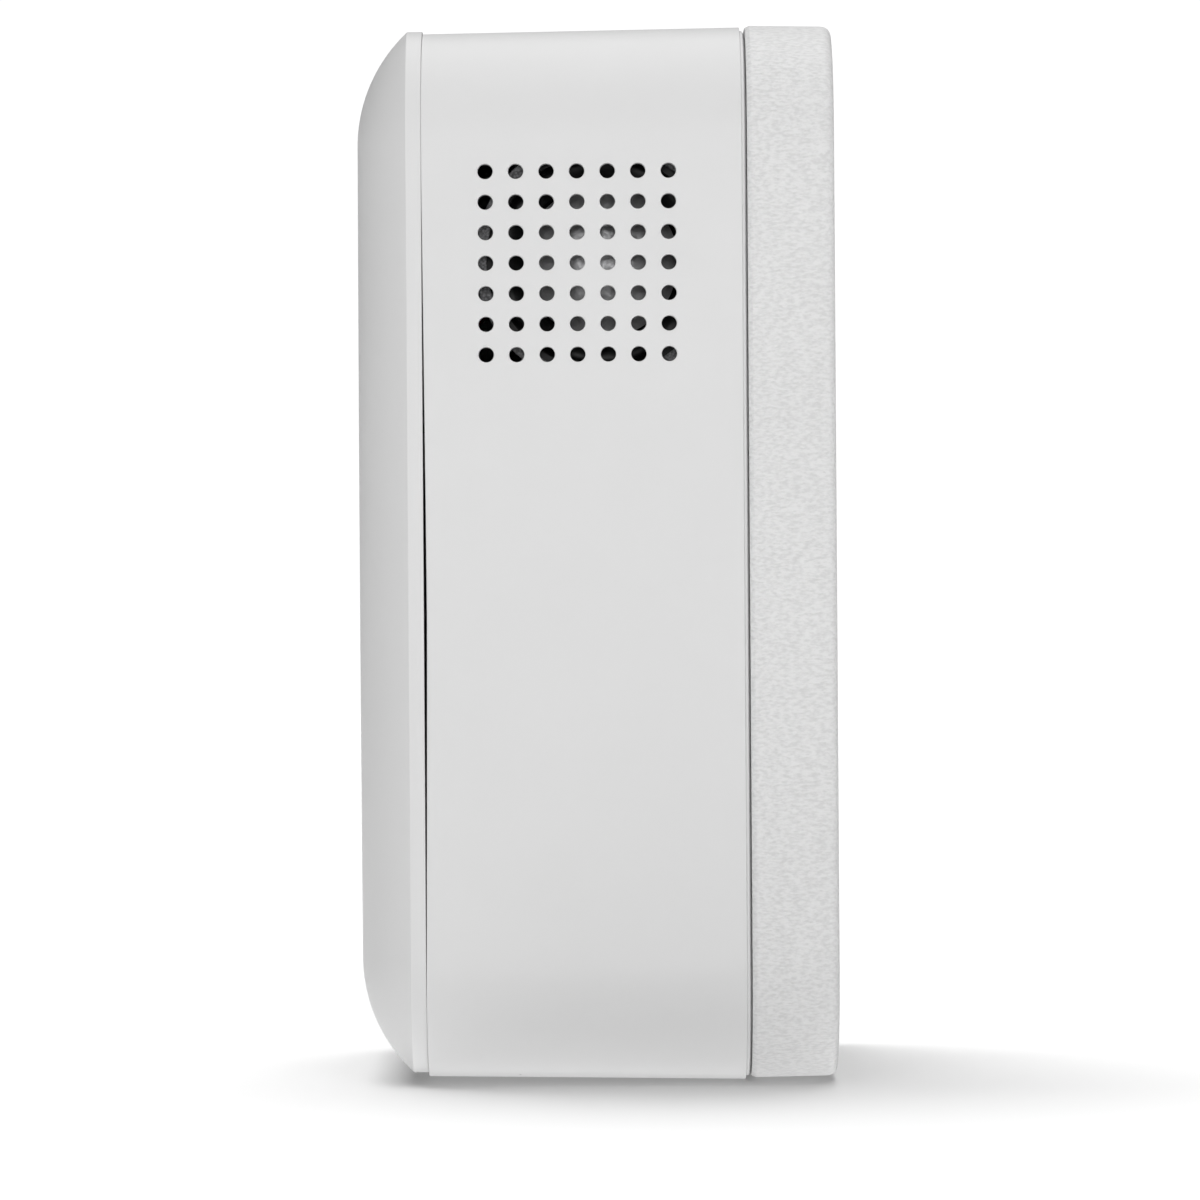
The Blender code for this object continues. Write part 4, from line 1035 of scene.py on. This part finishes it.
def battery_cover():
    """Lid with a sunk panel, finger ribs, rounded edges, a locating rim and three screw lugs."""
    low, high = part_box("battery_cover")
    plate_low, plate_high, sunk = HOUSING_REAR_Y + GAP, high.y, high.y - 0.35 * MM
    half_x, half_z = TRAY_HIGH.x, (TRAY_HIGH.z - TRAY_LOW.z) / 2 + 0.4 * MM
    middle = (0, (TRAY_HIGH.z + TRAY_LOW.z) / 2)
    edge = 0.35 * MM
    plate = [(edge, plate_low), (0, plate_low + edge), (0, plate_high - edge)]
    plate += [(0.3 * edge, plate_high - 0.3 * edge), (edge, plate_high)]
    panel = filleted([(3 * MM, plate_high, 0), (3.3 * MM, sunk, 0.2 * MM), (8 * MM, sunk, 0)])
    lid = loft([*plate, *panel], middle, (2 * half_x, 2 * half_z), 1.5 * MM)
    rim_half = TRAY_HIGH.x - TRAY_WALL
    rim_low, rim_high = TRAY_LOW.z + TRAY_WALL, TRAY_HIGH.z - TRAY_WALL
    added = [box((-rim_half, low.y, rim_low), (rim_half, plate_low + 0.6 * MM, rim_high), 0.3 * MM)]
    rib_half, rib_low = 10 * MM, plate_high - 0.8 * MM
    for number in range(7):
        z = rim_high - 8 * MM - number * 1.6 * MM
        added.append(box((-rib_half, rib_low, z), (rib_half, plate_high, z + 0.7 * MM), 0.2 * MM))
    holes = []
    lug = 3.4 * MM
    for x, z in DOOR_SCREWS:
        inward = math.copysign(4 * MM, MIDDLE_Z / 2 + 10 * MM - z)
        added.append(rod_y(lug, (x, z), plate_low, plate_high))
        lug_low, lug_high = sorted((z, z + inward))
        added.append(box((x - lug, plate_low, lug_low), (x + lug, plate_high, lug_high)))
        holes.append(bore(1.4 * MM, (x, z), plate_low, plate_high, 0.1 * MM, 0.2 * MM))
    lid = use_tools(lid, added, "UNION")
    lid = use_tools(lid, holes, "DIFFERENCE")
    finish(lid, "battery_cover", "housing", "satin_white_plastic")


def tamper_plunger():
    """Hollow plunger with a domed tip and a flange at its foot."""
    low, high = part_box("tamper_plunger")
    tip_y, foot_y = high.y, low.y
    stem, flange, hollow, flange_thick, edge = mm(2, 2.5, 1.5, 0.5, 0.1)
    corners = [
        (0, tip_y, 0),
        (stem, tip_y, 0.7 * MM),
        (stem, foot_y + flange_thick, edge),
        (flange, foot_y + flange_thick, edge),
        (flange, foot_y, edge),
        (hollow, foot_y, edge),
        (hollow, tip_y - MM, 0.2 * MM),
        (0, tip_y - MM, 0),
    ]
    made = turned(filleted(corners), (TAMPER[0], 0, TAMPER[1]), (0, 1, 0), 48)
    finish(made, "tamper_plunger", "tamper", "cream_plastic")


def learn_button_cap():
    """Round red cap with a dished face."""
    low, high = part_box("learn_button_cap")
    dish, crest, radius, soft = mm(1.1, 1.4, 1.7, 0.2)
    corners = [
        (0, high.y - soft, 0),
        (dish, high.y - 0.15 * MM, soft),
        (crest, high.y, soft),
        (radius, high.y - soft, soft),
        (radius, low.y, 0.1 * MM),
        (0, low.y, 0),
    ]
    made = turned(filleted(corners), (BUTTON[0], 0, BUTTON[1]), (0, 1, 0), 48)
    finish(made, "learn_button_cap", "learn_cap", "red_plastic")


def power_switch_slider():
    """Black knob with three grip ridges across its face."""
    low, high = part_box("power_switch_slider")
    knob = box(low, (high.x, high.y - 0.3 * MM, high.z), 0.15 * MM)
    ridges = []
    half, edge = mm(0.28, 0.1)
    for share in (0.2, 0.5, 0.8):
        x = low.x + (high.x - low.x) * share
        ridge_low = (x - half, high.y - 0.8 * MM, low.z + edge)
        ridge_high = (x + half, high.y, high.z - edge)
        ridges.append(box(ridge_low, ridge_high, edge))
    made = use_tools(knob, ridges, "UNION")
    finish(made, "power_switch_slider", "power_slider", "black_plastic")


def rounded_nodes():
    """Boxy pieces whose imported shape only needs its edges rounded."""
    rows = [
        ("lock_nut", 0.25, "zinc_steel"),
        ("terminal_block", 0.25, "green_plastic"),
        ("tamper_switch_body", 0.3, "black_plastic"),
        ("learn_button_body", 0.2, "component_can"),
        ("power_switch_body", 0.2, "component_can"),
        ("battery_tray", 0.3, "black_plastic"),
        ("radio_module", 0.3, "component_can"),
        ("controller_chip", 0.15, "black_plastic"),
        ("battery_connector", 0.3, "cream_plastic"),
        ("sounder_connector", 0.3, "cream_plastic"),
    ]
    for node, edge, slot in rows:
        rounded_copy(node, edge * MM, "housing", slot)


def dress_packed_nodes():
    """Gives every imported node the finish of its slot."""
    slots = {row["node"]: row["material_slot"] for row in frame["record"]["subparts"]}
    for name, node in frame["nodes"].items():
        node.data.materials.clear()
        node.data.materials.append(SLOT_LOOKS[slots[name]])


# ------------------------ studio


def studio_floor():
    """A plain pale floor, just under the siren."""
    form = bmesh.new()
    bmesh.ops.create_grid(form, x_segments=8, y_segments=8, size=3)
    floor = from_form(form, "studio_floor")
    floor.location.z = cad_box[0][2] - 0.05 * MM
    floor_white = new_look("floor_white", (0.6, 0.6, 0.6), 0.7, Specular_IOR_Level=0.0)[0]
    floor.data.materials.append(floor_white)
    return floor


def sun(name, direction, strength, degrees):
    """A soft distant light. strength is the brightness it gives a white card that faces it."""
    lamp = bpy.data.lights.new(name, "SUN")
    lamp.energy = strength * math.pi
    lamp.angle = math.radians(degrees)
    made = link(bpy.data.objects.new(name, lamp))
    made.rotation_euler = Vector(direction).to_track_quat("Z", "Y").to_euler()
    return made


def light_floor(floor):
    """Two lights for the floor's sake. One brings it to white, and lights nothing else. The other
    comes up through it, as a pale table top would throw light back at the siren's underside."""
    whitener = sun("floor_top", (-0.45, -0.17, 1), 0.9, 47)
    whitened = bpy.data.collections.new("lit_by_floor_top")
    whitened.objects.link(floor)
    whitener.light_linking.receiver_collection = whitened
    bounce = sun("bounce", (-0.4, 0, -1), 0.62, 70)
    passed = bpy.data.collections.new("lets_bounce_through")
    passed.objects.link(floor)
    bounce.light_linking.blocker_collection = passed
    passed.collection_objects[0].light_linking.link_state = "EXCLUDE"


def studio_world():
    """A light tent, dimmer in front of the cover and behind the base. The camera sees it as plain white."""
    world = bpy.data.worlds.new("studio")
    bpy.context.scene.world = world
    world.use_nodes = True
    nodes, join = world.node_tree.nodes, world.node_tree.links.new
    seen, lit = nodes["Background"], nodes.new("ShaderNodeBackground")
    seen.inputs["Color"].default_value = (1, 1, 1, 1)
    seen.inputs["Strength"].default_value = 1.05
    lit.inputs["Color"].default_value = (1, 1, 1, 1)
    towards, split = nodes.new("ShaderNodeTexCoord"), nodes.new("ShaderNodeSeparateXYZ")
    join(towards.outputs["Generated"], split.inputs["Vector"])
    both_sides = nodes.new("ShaderNodeMath")
    both_sides.operation = "MULTIPLY"
    tent = 0.34
    in_front, behind = (0, -0.75, 0.05, 1), (0.1, 0.85, 0.06, tent)
    for number, (full, dim, least, most) in enumerate((in_front, behind)):
        dimming = nodes.new("ShaderNodeMapRange")
        dimming.interpolation_type = "SMOOTHSTEP"
        join(split.outputs["Y"], dimming.inputs["Value"])
        dimming.inputs["From Min"].default_value = dim
        dimming.inputs["From Max"].default_value = full
        dimming.inputs["To Min"].default_value = least
        dimming.inputs["To Max"].default_value = most
        join(dimming.outputs["Result"], both_sides.inputs[number])
    join(both_sides.outputs["Value"], lit.inputs["Strength"])
    mix, ray = nodes.new("ShaderNodeMixShader"), nodes.new("ShaderNodeLightPath")
    join(ray.outputs["Is Camera Ray"], mix.inputs["Fac"])
    join(lit.outputs["Background"], mix.inputs[1])
    join(seen.outputs["Background"], mix.inputs[2])
    join(mix.outputs["Shader"], nodes["World Output"].inputs["Surface"])


def studio_camera():
    """Level, square to the grille side, and turned a little so that the siren leans to its front."""
    distance = 0.9
    frame_width = 149.2 * MM
    centre_y, centre_z = 0.45 * MM, 60.6 * MM
    roll_angle = math.radians(0.39)
    lens = bpy.data.cameras.new("camera")
    lens.sensor_width = 36
    lens.lens = 36 * distance / frame_width
    lens.clip_start = 0.01
    made = link(bpy.data.objects.new("camera", lens))
    made.location = (WIDTH / 2 + distance, centre_y, centre_z)
    look_along = Vector((-1, 0, 0)).to_track_quat("-Z", "Y").to_matrix()
    made.rotation_euler = (look_along @ Matrix.Rotation(-roll_angle, 3, "Z")).to_euler()
    bpy.context.scene.camera = made


bpy.context.scene.view_settings.view_transform = "Standard"
studio_world()
sun("front_small", (1, 0, 0.12), 0.13, 12)
sun("front_wide", (1, 0, 0.62), 0.35, 66)
sun("top", (-0.15, 0, 1), 0.64, 70)
light_floor(studio_floor())
studio_camera()

dress_packed_nodes()
front_cover()
light_pipe()
main_housing()
wall_base()
sounder_dome()
sounder_cone()
sounder_rings()
fasteners()
battery_cover()
tamper_plunger()
learn_button_cap()
power_switch_slider()
rounded_nodes()
